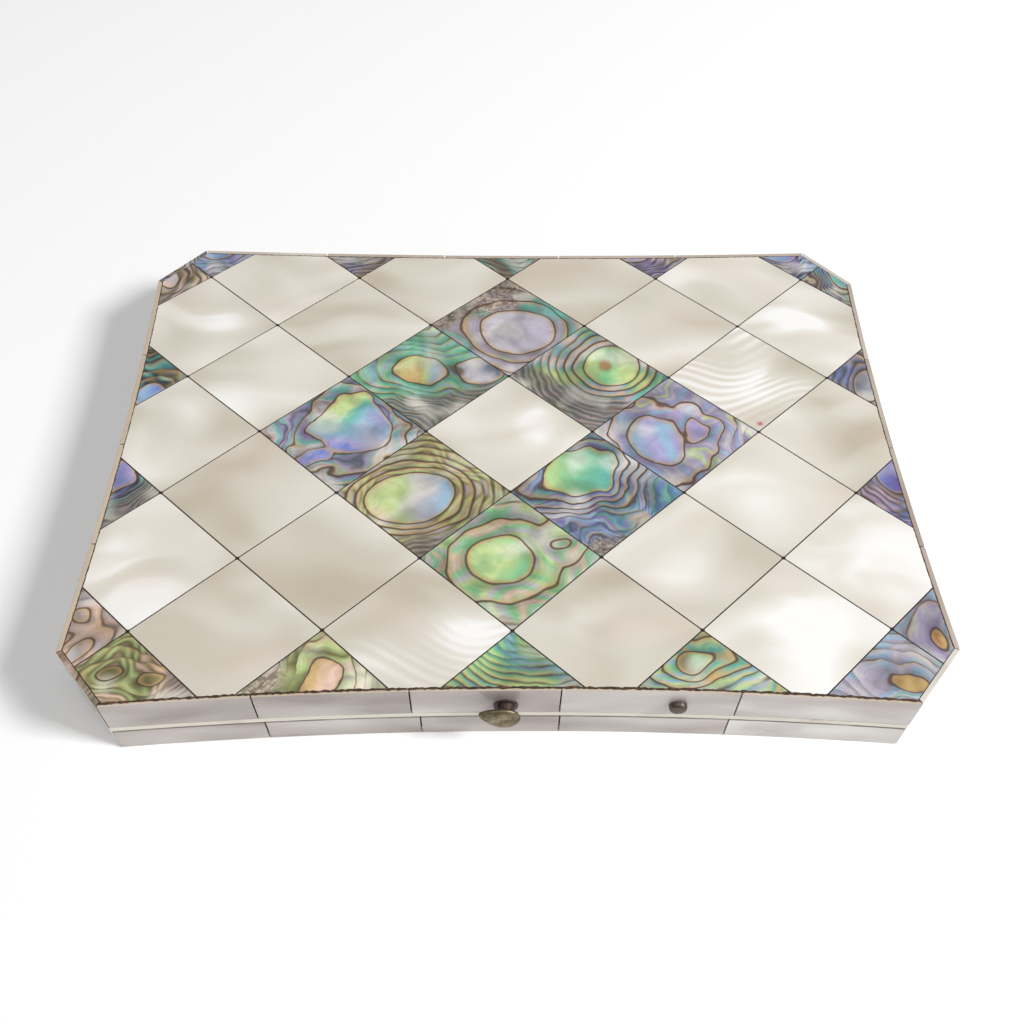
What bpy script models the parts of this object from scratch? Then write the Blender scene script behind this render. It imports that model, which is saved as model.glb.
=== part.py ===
"""Pocket games case: two shell-veneered wooden trays on two back hinges, with a push-button catch.

Frame: origin at the centre of the underside, +X along the hinge line, +Y towards the hinges, +Z up.
The case is modelled closed. Sizes are in millimetres here and become metres in the helpers.
"""
import math

import bmesh
import bpy
from mathutils import Matrix

MM = 0.001

# Outline of the closed case: a rectangle with hollow sides and clipped corners
HALF_WIDTH = 55.0
HALF_DEPTH = 40.85
HALF_FRONT_EDGE = 48.6
HALF_SIDE_EDGE = 33.5
FRONT_SAG = 1.98
BACK_SAG = 1.0
SIDE_SAG = 0.88
ARC_STEPS = 16

# Heights, from the underside up
TOTAL_HEIGHT = 10.9
BASE_RIM = 4.3
LID_RIM = 4.45
BAND_HEIGHT = 0.8
SHELL = 0.8
STRIP = 0.7
GLUE = 0.05
MITRE_GAP = 0.03
FLOOR = 0.85
PANEL = 0.45
WALL = 2.8
PANEL_CLEARANCE = 0.06

# Insets from the outline
CARCASS_INSET = STRIP + GLUE
HOLLOW_INSET = CARCASS_INSET + WALL

# Heights that follow from those above
BASE_FLOOR_TOP = SHELL + GLUE + FLOOR
LID_CEILING = TOTAL_HEIGHT - BASE_FLOOR_TOP
BAND_TOP = LID_RIM + BAND_HEIGHT
HINGE_Z = TOTAL_HEIGHT / 2.0
HINGE_Y = HALF_DEPTH + 0.3

# Hinges
HINGE_X = 19.0
HINGE_WIDTH = 12.0
LEAF_INNER = 39.88
LEAF_THICKNESS = 0.5
LEAF_BED = 39.85
LEAF_END = 0.9
LEAF_SETBACK = 0.8
KNUCKLE_RADIUS = 0.9
PIN_RADIUS = 0.4
RUNNING = 0.05
KNUCKLE_GAP = 0.1
TAB_OVERLAP = 0.5
PIN_PROUD = 0.15
HINGE_BED_CLEARANCE = 0.1

# Screws: the head is a short cone that sits a hair off the leaf and swallows the shank's end
SCREW_SPREAD = 3.8
SCREW_Z = 2.5
SCREW_SHANK = 0.32
SCREW_HEAD = 0.62
SCREW_HEAD_HEIGHT = 0.32
SCREW_HEAD_TAPER = 0.7
SCREW_HEAD_GAP = 0.03
SCREW_SHANK_OVERLAP = 0.1
SCREW_LENGTH = 2.2
SCREW_HOLE_LENGTH = 5.0
SCREW_HOLE_SPARE = 0.2

# Catch
BUTTON_X = -0.7
BUTTON_Z = 7.2
BUTTON_Y = -HALF_DEPTH + FRONT_SAG
ANCHOR_X = 20.1
ANCHOR_Z = 7.8
ARM_FRONT = -37.6
ARM_THICKNESS = 0.4
ARM_BOTTOM = 6.7
ARM_TOP = 8.6
ARM_LEFT = -3.0
ARM_RIGHT = 22.4
ARM_SLOT_X = (-4.5, 23.4)
ARM_SLOT_Y = (-37.85, -35.75)
ARM_SLOT_TOP = 9.0
ANCHOR_HEAD = 1.1
ANCHOR_SHANK = 0.55
ANCHOR_PROUD = 0.75
ANCHOR_TAPER = 0.9
ANCHOR_STAND_OFF = 0.12
ANCHOR_OVERLAP = 0.2
ANCHOR_SHANK_LENGTH = 3.9
ANCHOR_HOLE_Y = -39.6
ANCHOR_HOLE_LENGTH = 4.4
ANCHOR_HOLE_CLEARANCE = 0.1
TOOTH_WIDTH = 3.0
TOOTH_TOP_DROP = 0.2
TOOTH_STEP_Z = 3.6
TOOTH_LIP_Z = 3.35
TOOTH_FOOT_Z = 3.0
TOOTH_LIP = 0.25
TOOTH_SLOPE = 0.1
TOOTH_DEPTH = 0.4
KEEPER_Y = (-38.0, -35.42)
KEEPER_HOLE_Y = (-37.55, -35.75)
KEEPER_HOLE_HALF = 2.4
KEEPER_Z = (3.85, 4.2)
KEEPER_HALF = 8.5
KEEPER_SCREW_X = 6.4
KEEPER_SCREW_FOOT = 2.1
KEEPER_SCREW_OVERLAP = 0.08
KEEPER_SCREW_HOLE_FOOT = 2.0
KEEPER_SCREW_HOLE_LENGTH = 3.0
KEEPER_HEAD_HEIGHT = 0.13
KEEPER_HEAD_GAP = 0.02
KEEPER_HEAD_SCALE = 0.9
POCKET_HALF = 2.6
POCKET_Y = (-37.6, -35.7)
POCKET_FLOOR = 2.5

# Push button: a round head with a smaller point to its left, which together make a pear
STEM_RADIUS = 1.0
STEM_GAP = 0.04
STEM_SHORTENING = 0.12
BUTTON_GAP = 0.9
HEAD_THICKNESS = 0.65
HEAD_SHIFT = (-0.15, -0.2)
HEAD_RADII = (1.5, 1.9)
POINT_SHIFT = (-2.35, 0.35)
POINT_RADII = (0.75, 0.95)
POINT_SETBACK = 0.1

# Collar round the button's stem
COLLAR_RADIUS = 1.5
COLLAR_PROUD = 0.2
COLLAR_LIP = 0.3
COLLAR_OVERLAP = 0.1
SLEEVE_LENGTH = 0.95
COLLAR_BORE_LENGTH = 3.0
COLLAR_SEAT_START = 0.2
COLLAR_SEAT_LENGTH = 1.6

# How far a cutter runs past the face it opens, and how many sides round things have
PAST = 1.0
BUTTON_SIDES = 28
ROUND_SIDES = 24
PIN_SIDES = 20
HOLE_SIDES = 16
SCREW_SIDES = 12
WELD_DISTANCE = 1e-6


def clear_scene():
    for thing in list(bpy.data.objects):
        bpy.data.objects.remove(thing, do_unlink=True)


def make_collection(name):
    collection = bpy.data.collections.new(name)
    bpy.context.scene.collection.children.link(collection)
    return collection


def make_material(name, colour, roughness, metallic=0.0):
    material = bpy.data.materials.new(name)
    material.use_nodes = True
    shader = material.node_tree.nodes["Principled BSDF"]
    shader.inputs["Base Color"].default_value = (*colour, 1.0)
    shader.inputs["Roughness"].default_value = roughness
    shader.inputs["Metallic"].default_value = metallic
    material.diffuse_color = (*colour, 1.0)
    return material


def add_object(name, mesh, collection, look):
    """Link a mesh as a named part with a material of its own."""
    part = bpy.data.objects.new(name, mesh)
    collection.objects.link(part)
    mesh.materials.clear()
    mesh.materials.append(make_material(name, *look))
    return part


# Plan outlines

def plan_corners(inset):
    """Half sizes of the outline after moving its edges and clipped corners inwards by inset."""
    dx = HALF_WIDTH - HALF_FRONT_EDGE
    dy = HALF_DEPTH - HALF_SIDE_EDGE
    length = math.hypot(dx, dy)
    nx, ny = dy / length, dx / length
    reach = nx * HALF_WIDTH + ny * HALF_SIDE_EDGE - inset
    half_width = HALF_WIDTH - inset
    half_depth = HALF_DEPTH - inset
    half_front = (reach - ny * half_depth) / nx
    half_side = (reach - nx * half_width) / ny
    return half_width, half_depth, half_front, half_side


def hollow_edge(half_length, distance, full_half_length, sag):
    """Points along one hollow edge, from minus to plus, as (along, outwards) pairs."""
    points = []
    for step in range(ARC_STEPS + 1):
        along = half_length * (2.0 * step / ARC_STEPS - 1.0)
        bow = sag * (half_length ** 2 - along ** 2) / full_half_length ** 2
        points.append((along, distance - bow))
    return points


def edge_points(side, inset, trim=0.0):
    """Points of one edge of the outline at an inset, counter-clockwise seen from above."""
    half_width, half_depth, half_front, half_side = plan_corners(inset)
    if side == "front":
        edge = hollow_edge(half_front - trim, half_depth, HALF_FRONT_EDGE, FRONT_SAG)
        return [(along, -out) for along, out in edge]
    if side == "back":
        edge = hollow_edge(half_front - trim, half_depth, HALF_FRONT_EDGE, BACK_SAG)
        return [(-along, out) for along, out in edge]
    edge = hollow_edge(half_side - trim, half_width, HALF_SIDE_EDGE, SIDE_SAG)
    if side == "right":
        return [(out, along) for along, out in edge]
    return [(-out, -along) for along, out in edge]


def plan_outline(inset):
    points = []
    for side in ("front", "right", "back", "left"):
        points += edge_points(side, inset)
    return points


def strip_outline(side):
    """Plan of one edge strip, mitred at its ends."""
    return edge_points(side, 0.0, MITRE_GAP) + edge_points(side, STRIP, MITRE_GAP)[::-1]


def corner_outline(sign_x, sign_y):
    """Plan of one clipped-corner strip."""
    half_width, half_depth, half_front, half_side = plan_corners(0.0)
    in_width, in_depth, in_front, in_side = plan_corners(STRIP)
    corners = [
        (half_front + MITRE_GAP, half_depth - MITRE_GAP),
        (half_width - MITRE_GAP, half_side + MITRE_GAP),
        (in_width, in_side + MITRE_GAP),
        (in_front + MITRE_GAP, in_depth),
    ]
    points = [(sign_x * x, sign_y * y) for x, y in corners]
    if sign_x * sign_y > 0:
        points.reverse()
    return points


# Solids

def prism(name, points, low, high, collection, look):
    """An upright solid from a flat outline between two heights."""
    curve = bpy.data.curves.new(name, "CURVE")
    curve.dimensions = "2D"
    curve.fill_mode = "BOTH"
    curve.extrude = (high - low) / 2.0 * MM
    spline = curve.splines.new("POLY")
    spline.points.add(len(points) - 1)
    for index, (x, y) in enumerate(points):
        spline.points[index].co = (x * MM, y * MM, 0.0, 1.0)
    spline.use_cyclic_u = True
    guide = bpy.data.objects.new(name + "_outline", curve)
    guide.location.z = (low + high) / 2.0 * MM
    collection.objects.link(guide)
    bpy.context.view_layer.update()
    evaluated = guide.evaluated_get(bpy.context.evaluated_depsgraph_get())
    mesh = bpy.data.meshes.new_from_object(evaluated)
    mesh.transform(guide.matrix_world)
    bpy.data.objects.remove(guide, do_unlink=True)
    weld(mesh)
    return add_object(name, mesh, collection, look)


def weld(mesh):
    """Join a mesh's loose caps to its walls and face every side out."""
    shape = bmesh.new()
    shape.from_mesh(mesh)
    bmesh.ops.remove_doubles(shape, verts=shape.verts, dist=WELD_DISTANCE)
    bmesh.ops.recalc_face_normals(shape, faces=shape.faces)
    shape.to_mesh(mesh)
    shape.free()


def box(name, low, high, collection, look):
    """A box between two corners."""
    shape = bmesh.new()
    bmesh.ops.create_cube(shape, size=1.0)
    size = [(b - a) * MM for a, b in zip(low, high)]
    centre = [(a + b) / 2.0 * MM for a, b in zip(low, high)]
    bmesh.ops.scale(shape, vec=size, verts=shape.verts)
    bmesh.ops.translate(shape, vec=centre, verts=shape.verts)
    mesh = bpy.data.meshes.new(name)
    shape.to_mesh(mesh)
    shape.free()
    return add_object(name, mesh, collection, look)


def rod(name, start, axis, length, radius, collection, look, sides=PIN_SIDES, end_radius=None):
    """A rod or cone that starts at a point and runs along +X, +Y or +Z."""
    turn = {
        "X": Matrix.Rotation(math.pi / 2.0, 4, "Y"),
        "Y": Matrix.Rotation(-math.pi / 2.0, 4, "X"),
        "Z": Matrix.Identity(4),
    }[axis]
    far_radius = radius if end_radius is None else end_radius
    shape = bmesh.new()
    bmesh.ops.create_cone(
        shape, cap_ends=True, segments=sides,
        radius1=radius * MM, radius2=far_radius * MM, depth=length * MM,
    )
    bmesh.ops.translate(shape, vec=(0.0, 0.0, length / 2.0 * MM), verts=shape.verts)
    bmesh.ops.transform(shape, matrix=turn, verts=shape.verts)
    bmesh.ops.translate(shape, vec=[value * MM for value in start], verts=shape.verts)
    mesh = bpy.data.meshes.new(name)
    shape.to_mesh(mesh)
    shape.free()
    return add_object(name, mesh, collection, look)


CUTTER_LOOK = ((0.8, 0.2, 0.2), 0.5)


def as_cutter(cutter):
    cutter.hide_render = True
    cutter.display_type = "WIRE"
    return cutter


def combine(part, other, operation):
    modifier = part.modifiers.new(other.name, "BOOLEAN")
    modifier.operation = operation
    modifier.solver = "EXACT"
    modifier.object = other


def cut(part, *cutters):
    for cutter in cutters:
        combine(part, as_cutter(cutter), "DIFFERENCE")


def join(part, *others):
    for other in others:
        combine(part, as_cutter(other), "UNION")


# Looks: colour, roughness and metallic value
WOOD = ((0.10, 0.055, 0.03), 0.6)
PEARL = ((0.68, 0.64, 0.57), 0.25)
PEARL_EDGE = ((0.55, 0.50, 0.47), 0.3)
ABALONE = ((0.16, 0.25, 0.22), 0.2)
CREAM = ((0.70, 0.60, 0.45), 0.45)
EBONY = ((0.02, 0.018, 0.016), 0.4)
BRASS = ((0.36, 0.30, 0.17), 0.42, 1.0)
STEEL = ((0.10, 0.085, 0.065), 0.5, 1.0)

SIDES = ("front", "right", "back", "left")
CORNERS = {
    "front_left": (-1, -1), "front_right": (1, -1),
    "back_left": (-1, 1), "back_right": (1, 1),
}


def make_veneers(half, low, high, parts):
    """Edge strips and clipped-corner strips of one half, by name."""
    strips = {}
    for side in SIDES:
        name = f"{half}_strip_{side}"
        strips[side] = prism(name, strip_outline(side), low, high, parts, PEARL_EDGE)
    for corner, (sign_x, sign_y) in CORNERS.items():
        look = ABALONE if half == "lid" and sign_x < 0 else PEARL_EDGE
        strips[corner] = prism(
            f"{half}_corner_{corner}", corner_outline(sign_x, sign_y), low, high, parts, look)
    return strips


def make_base(parts, cutters):
    """Lower tray: wooden carcass, shell underside, edge strips and playing field."""
    carcass = prism("base_carcass", plan_outline(CARCASS_INSET), SHELL + GLUE, BASE_RIM, parts, WOOD)
    hollow = prism(
        "base_hollow", plan_outline(HOLLOW_INSET), BASE_FLOOR_TOP, BASE_RIM + PAST, cutters, CUTTER_LOOK)
    cut(carcass, hollow)
    prism("base_underside_shell", plan_outline(CARCASS_INSET), 0.0, SHELL, parts, PEARL)
    strips = make_veneers("base", 0.0, BASE_RIM, parts)
    prism(
        "base_playing_field", plan_outline(HOLLOW_INSET + PANEL_CLEARANCE),
        BASE_FLOOR_TOP + GLUE, BASE_FLOOR_TOP + GLUE + PANEL, parts, EBONY)
    return carcass, strips


def make_lid(parts, cutters):
    """Upper tray: wooden carcass, shell top, edge strips, cream edge band and playing field."""
    top_bed = TOTAL_HEIGHT - SHELL - GLUE
    carcass = prism("lid_carcass", plan_outline(CARCASS_INSET), LID_RIM, top_bed, parts, WOOD)
    hollow = prism(
        "lid_hollow", plan_outline(HOLLOW_INSET), LID_RIM - PAST, LID_CEILING, cutters, CUTTER_LOOK)
    cut(carcass, hollow)
    prism("lid_top_shell", plan_outline(CARCASS_INSET), top_bed + GLUE, TOTAL_HEIGHT, parts, PEARL)
    strips = make_veneers("lid", BAND_TOP + GLUE, TOTAL_HEIGHT, parts)
    band = prism("lid_edge_band", plan_outline(0.0), LID_RIM, BAND_TOP, parts, CREAM)
    inside = prism(
        "band_inside", plan_outline(STRIP), LID_RIM - PAST, BAND_TOP + PAST, cutters, CUTTER_LOOK)
    cut(band, inside)
    prism(
        "lid_playing_field", plan_outline(HOLLOW_INSET + PANEL_CLEARANCE),
        LID_CEILING - GLUE - PANEL, LID_CEILING - GLUE, parts, EBONY)
    return carcass, strips, band


def screw_hole(name, x, y, z, cutters):
    return rod(
        name, (x, y, z), "Y", SCREW_HOLE_LENGTH, SCREW_SHANK + RUNNING, cutters, CUTTER_LOOK,
        sides=HOLE_SIDES)


def make_screw(name, x, z, parts, cutters):
    """Round-headed brass screw running forwards out of a hinge leaf."""
    face = LEAF_INNER + LEAF_THICKNESS
    screw = rod(name, (x, face - SCREW_LENGTH, z), "Y", SCREW_LENGTH + SCREW_SHANK_OVERLAP,
                SCREW_SHANK, parts, BRASS, sides=SCREW_SIDES)
    head = rod(name + "_head", (x, face + SCREW_HEAD_GAP, z), "Y", SCREW_HEAD_HEIGHT, SCREW_HEAD,
               cutters, CUTTER_LOOK, sides=HOLE_SIDES, end_radius=SCREW_HEAD * SCREW_HEAD_TAPER)
    join(screw, head)


def drill_and_screw(name, x, z, targets, parts, cutters):
    """One screw and the hole it needs through each piece it passes."""
    start = LEAF_INNER + LEAF_THICKNESS - SCREW_LENGTH - SCREW_HOLE_SPARE
    hole = screw_hole(name + "_hole", x, start, z, cutters)
    for target in targets:
        cut(target, hole)
    make_screw(name, x, z, parts, cutters)


def make_leaf(name, x, side, parts, cutters):
    """Leaf with its knuckles: two outer ones on the base, the middle one on the lid."""
    left = x - HINGE_WIDTH / 2.0
    knuckle = HINGE_WIDTH / 3.0
    outer = LEAF_INNER + LEAF_THICKNESS
    if side == "base":
        plate_z = (LEAF_END, BASE_RIM)
        spans = [(left, left + knuckle), (left + 2 * knuckle, left + 3 * knuckle)]
        tab_z = (BASE_RIM - TAB_OVERLAP, HINGE_Z)
    else:
        plate_z = (HINGE_Z + LEAF_SETBACK, TOTAL_HEIGHT - LEAF_END)
        spans = [(left + knuckle + KNUCKLE_GAP, left + 2 * knuckle - KNUCKLE_GAP)]
        tab_z = (HINGE_Z, HINGE_Z + LEAF_SETBACK + TAB_OVERLAP)
    leaf = box(
        name, (left, LEAF_INNER, plate_z[0]), (left + HINGE_WIDTH, outer, plate_z[1]), parts, BRASS)
    for index, (start, end) in enumerate(spans):
        tab = box(
            f"{name}_tab_{index}", (start, LEAF_INNER, tab_z[0]), (end, outer, tab_z[1]),
            cutters, CUTTER_LOOK)
        barrel = rod(
            f"{name}_barrel_{index}", (start, HINGE_Y, HINGE_Z), "X", end - start, KNUCKLE_RADIUS,
            cutters, CUTTER_LOOK, sides=ROUND_SIDES)
        join(leaf, tab, barrel)
    bore = rod(
        f"{name}_bore", (left - PAST, HINGE_Y, HINGE_Z), "X", HINGE_WIDTH + 2.0 * PAST,
        PIN_RADIUS + RUNNING, cutters, CUTTER_LOOK, sides=PIN_SIDES)
    cut(leaf, bore)
    return leaf


def make_hinge(label, x, base, lid, parts, cutters):
    """One hinge, its bed cut into both halves, its pin and its four screws."""
    base_carcass, base_strips = base
    lid_carcass, lid_strips, band = lid
    half_bed = HINGE_WIDTH / 2.0 + HINGE_BED_CLEARANCE
    bed = box(
        f"hinge_{label}_bed", (x - half_bed, LEAF_BED, LEAF_END - HINGE_BED_CLEARANCE),
        (x + half_bed, HINGE_Y, TOTAL_HEIGHT - LEAF_END + HINGE_BED_CLEARANCE),
        cutters, CUTTER_LOOK)
    cut(base_strips["back"], bed)
    cut(lid_strips["back"], bed)
    cut(band, bed)
    base_leaf = make_leaf(f"hinge_{label}_base_leaf", x, "base", parts, cutters)
    lid_leaf = make_leaf(f"hinge_{label}_lid_leaf", x, "lid", parts, cutters)
    rod(f"hinge_{label}_pin", (x - HINGE_WIDTH / 2.0 - PIN_PROUD, HINGE_Y, HINGE_Z), "X",
        HINGE_WIDTH + 2.0 * PIN_PROUD, PIN_RADIUS, parts, STEEL)
    for hand, offset in (("left", -SCREW_SPREAD), ("right", SCREW_SPREAD)):
        drill_and_screw(
            f"hinge_{label}_base_screw_{hand}", x + offset, SCREW_Z,
            (base_leaf, base_strips["back"], base_carcass), parts, cutters)
        drill_and_screw(
            f"hinge_{label}_lid_screw_{hand}", x + offset, TOTAL_HEIGHT - SCREW_Z,
            (lid_leaf, lid_strips["back"], lid_carcass), parts, cutters)


def make_button(parts, cutters):
    """Pear-shaped push button with its stem, as two pieces that slide together."""
    back = BUTTON_Y - COLLAR_PROUD - BUTTON_GAP
    front = back - HEAD_THICKNESS
    head_place = (BUTTON_X + HEAD_SHIFT[0], front, BUTTON_Z + HEAD_SHIFT[1])
    head = rod("button_head", head_place, "Y", HEAD_THICKNESS, HEAD_RADII[0],
               parts, BRASS, sides=BUTTON_SIDES, end_radius=HEAD_RADII[1])
    point_place = (BUTTON_X + POINT_SHIFT[0], front + POINT_SETBACK, BUTTON_Z + POINT_SHIFT[1])
    point = rod("button_point", point_place, "Y", HEAD_THICKNESS - POINT_SETBACK, POINT_RADII[0],
                cutters, CUTTER_LOOK, end_radius=POINT_RADII[1])
    join(head, point)
    rod("button_stem", (BUTTON_X, back + STEM_GAP, BUTTON_Z), "Y",
        ARM_FRONT - back - STEM_SHORTENING, STEM_RADIUS, parts, BRASS, sides=ROUND_SIDES)


def make_collar(lid, parts, cutters):
    """Flanged guide for the button's stem, let into the lid's front wall."""
    carcass, strips, _band = lid
    sleeve_radius = COLLAR_RADIUS - COLLAR_LIP
    collar = rod("button_collar", (BUTTON_X, BUTTON_Y - COLLAR_PROUD, BUTTON_Z), "Y",
                 COLLAR_PROUD - GLUE, COLLAR_RADIUS, parts, BRASS, sides=BUTTON_SIDES)
    sleeve = rod("collar_sleeve", (BUTTON_X, BUTTON_Y - COLLAR_OVERLAP, BUTTON_Z), "Y",
                 SLEEVE_LENGTH, sleeve_radius, cutters, CUTTER_LOOK, sides=ROUND_SIDES)
    join(collar, sleeve)
    bore = rod("collar_bore", (BUTTON_X, BUTTON_Y - PAST, BUTTON_Z), "Y", COLLAR_BORE_LENGTH,
               STEM_RADIUS + RUNNING, cutters, CUTTER_LOOK, sides=ROUND_SIDES)
    cut(collar, bore)
    seat = rod("collar_seat", (BUTTON_X, BUTTON_Y - COLLAR_SEAT_START, BUTTON_Z), "Y",
               COLLAR_SEAT_LENGTH, sleeve_radius + RUNNING, cutters, CUTTER_LOOK,
               sides=ROUND_SIDES)
    cut(strips["front"], seat)
    cut(carcass, seat)


def make_catch(base, lid, parts, cutters):
    """Spring arm with its tooth and anchor pin in the lid, and the keeper in the base."""
    base_carcass, _base_strips = base
    lid_carcass, lid_strips, _band = lid
    slot = box("arm_slot", (ARM_SLOT_X[0], ARM_SLOT_Y[0], LID_RIM - PAST),
               (ARM_SLOT_X[1], ARM_SLOT_Y[1], ARM_SLOT_TOP), cutters, CUTTER_LOOK)
    cut(lid_carcass, slot)
    arm = box("latch_spring_arm", (ARM_LEFT, ARM_FRONT, ARM_BOTTOM),
              (ARM_RIGHT, ARM_FRONT + ARM_THICKNESS, ARM_TOP), parts, STEEL)
    anchor_hole = rod("anchor_hole", (ANCHOR_X, ANCHOR_HOLE_Y, ANCHOR_Z), "Y", ANCHOR_HOLE_LENGTH,
                      ANCHOR_SHANK + ANCHOR_HOLE_CLEARANCE, cutters, CUTTER_LOOK,
                      sides=HOLE_SIDES)
    cut(arm, anchor_hole)
    cut(lid_strips["front"], anchor_hole)
    cut(lid_carcass, anchor_hole)
    face = -HALF_DEPTH + FRONT_SAG * (1.0 - (ANCHOR_X / HALF_FRONT_EDGE) ** 2)
    pin_back = face - ANCHOR_STAND_OFF
    anchor = rod("latch_anchor_pin", (ANCHOR_X, pin_back - ANCHOR_PROUD, ANCHOR_Z), "Y",
                 ANCHOR_PROUD, ANCHOR_HEAD * ANCHOR_TAPER, parts, STEEL, end_radius=ANCHOR_HEAD)
    shank = rod("anchor_shank", (ANCHOR_X, pin_back - ANCHOR_OVERLAP, ANCHOR_Z), "Y",
                ANCHOR_SHANK_LENGTH, ANCHOR_SHANK, cutters, CUTTER_LOOK, sides=HOLE_SIDES)
    join(anchor, shank)
    make_tooth(parts)
    make_keeper(base_carcass, parts, cutters)


def make_tooth(parts):
    """Hooked tooth behind the arm: its profile is drawn from the side and has a sloping foot."""
    back = ARM_FRONT + ARM_THICKNESS + GLUE
    top = ARM_TOP - TOOTH_TOP_DROP
    far = back + TOOTH_DEPTH
    profile = [
        (back, top), (back, TOOTH_STEP_Z), (back - TOOTH_LIP, TOOTH_STEP_Z),
        (back - TOOTH_LIP, TOOTH_LIP_Z), (back + TOOTH_SLOPE, TOOTH_FOOT_Z),
        (far, TOOTH_FOOT_Z), (far, top),
    ]
    tooth = prism("latch_tooth", profile, -TOOTH_WIDTH / 2.0, TOOTH_WIDTH / 2.0, parts, STEEL)
    stand_up = Matrix(((0, 0, 1, 0), (1, 0, 0, 0), (0, 1, 0, 0), (0, 0, 0, 1)))
    tooth.data.transform(stand_up)


def make_keeper(base_carcass, parts, cutters):
    """Slotted plate let into the base's rim, over a pocket for the tooth, with two screws."""
    low_y, high_y = KEEPER_Y
    low_z, high_z = KEEPER_Z
    keeper = box("latch_keeper", (-KEEPER_HALF, low_y, low_z), (KEEPER_HALF, high_y, high_z),
                 parts, BRASS)
    slot = box("keeper_slot", (-KEEPER_HOLE_HALF, KEEPER_HOLE_Y[0], low_z - PAST),
               (KEEPER_HOLE_HALF, KEEPER_HOLE_Y[1], high_z + PAST), cutters, CUTTER_LOOK)
    cut(keeper, slot)
    bed = box("keeper_bed", (-KEEPER_HALF - GLUE, low_y - GLUE, low_z - GLUE),
              (KEEPER_HALF + GLUE, high_y + PAST, BASE_RIM + PAST), cutters, CUTTER_LOOK)
    pocket = box("keeper_pocket", (-POCKET_HALF, POCKET_Y[0], POCKET_FLOOR),
                 (POCKET_HALF, POCKET_Y[1], BASE_RIM + PAST), cutters, CUTTER_LOOK)
    cut(base_carcass, bed, pocket)
    middle = (low_y + high_y) / 2.0
    for hand, x in (("left", -KEEPER_SCREW_X), ("right", KEEPER_SCREW_X)):
        hole = rod(f"keeper_hole_{hand}", (x, middle, KEEPER_SCREW_HOLE_FOOT), "Z",
                   KEEPER_SCREW_HOLE_LENGTH, SCREW_SHANK + RUNNING, cutters, CUTTER_LOOK,
                   sides=HOLE_SIDES)
        cut(keeper, hole)
        cut(base_carcass, hole)
        screw = rod(f"latch_keeper_screw_{hand}", (x, middle, KEEPER_SCREW_FOOT), "Z",
                    high_z - KEEPER_SCREW_FOOT + KEEPER_SCREW_OVERLAP, SCREW_SHANK,
                    parts, STEEL, sides=SCREW_SIDES)
        screw_head = rod(f"keeper_head_{hand}", (x, middle, high_z + KEEPER_HEAD_GAP), "Z",
                         KEEPER_HEAD_HEIGHT, SCREW_HEAD * KEEPER_HEAD_SCALE,
                         cutters, CUTTER_LOOK, sides=HOLE_SIDES)
        join(screw, screw_head)


def main():
    clear_scene()
    parts = make_collection("games_case")
    cutters = make_collection("cutters")
    base = make_base(parts, cutters)
    lid = make_lid(parts, cutters)
    make_hinge("left", -HINGE_X, base, lid, parts, cutters)
    make_hinge("right", HINGE_X, base, lid, parts, cutters)
    make_button(parts, cutters)
    make_collar(lid, parts, cutters)
    make_catch(base, lid, parts, cutters)


main()
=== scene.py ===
"""Looks of the shell-veneered pocket games case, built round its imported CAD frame."""

import math
import random

import bmesh
import bpy
from mathutils import Matrix, Vector


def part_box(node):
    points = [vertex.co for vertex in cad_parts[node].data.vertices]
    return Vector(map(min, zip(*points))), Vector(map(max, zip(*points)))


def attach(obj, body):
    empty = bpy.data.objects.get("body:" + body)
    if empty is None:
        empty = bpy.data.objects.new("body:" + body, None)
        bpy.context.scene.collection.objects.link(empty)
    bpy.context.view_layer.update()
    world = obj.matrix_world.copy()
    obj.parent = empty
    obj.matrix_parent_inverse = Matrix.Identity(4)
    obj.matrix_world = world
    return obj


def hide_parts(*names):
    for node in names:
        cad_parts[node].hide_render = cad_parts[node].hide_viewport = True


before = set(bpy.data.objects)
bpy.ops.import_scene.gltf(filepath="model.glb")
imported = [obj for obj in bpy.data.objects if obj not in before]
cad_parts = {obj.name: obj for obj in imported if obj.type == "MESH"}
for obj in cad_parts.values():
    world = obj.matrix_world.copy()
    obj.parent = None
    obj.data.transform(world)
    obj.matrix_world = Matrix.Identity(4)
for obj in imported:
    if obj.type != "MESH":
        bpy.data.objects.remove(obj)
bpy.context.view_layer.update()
MM = 0.001

# Outline of the case, in millimetres, as the frame has it
HALF_WIDTH = 55.0
HALF_DEPTH = 40.85
HALF_FRONT_EDGE = 48.6
HALF_SIDE_EDGE = 33.5
FRONT_SAG = 1.98
BACK_SAG = 1.0
SIDE_SAG = 0.88
STRIP = 0.7
FRONT_STRIP = 0.34
FIELD_INSET = 0.75
ARC_STEP = 2.0
SIDES = ("front", "right", "back", "left")
CORNERS = {"front_left": (-1, -1), "front_right": (1, -1), "back_left": (-1, 1), "back_right": (1, 1)}

# Inlay lattice: diamonds with these diagonals, set a little towards the back
DIAGONAL_X = 23.51
DIAGONAL_Y = 21.63
LATTICE_SHIFT = (0.16, 1.85)
JOINT = 0.17
WORN_CORNER = 0.2
LATTICE_WOBBLE = 0.14
TILE_BEVEL = 0.03
CEMENT_DROP = 0.05
LATTICE_REACH = 3
SEED_STEPS = (97, 131)
TOP_SALT = 0
UNDERSIDE_SALT = 7
SMALLEST_PIECE = 1.0

# Worn edges and cutters
STRIP_BEVEL = 0.08
INLAY_BEVEL = 0.02
BEVEL_ANGLE = 35.0
CUTTER_SIDES = 40
HALVINGS = 40


def node_mm(name):
    """Lowest and highest corners of a CAD node, in millimetres."""
    low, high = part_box(name)
    return [value / MM for value in low], [value / MM for value in high]


# ---------------------------------------------------------------- outlines

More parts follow.
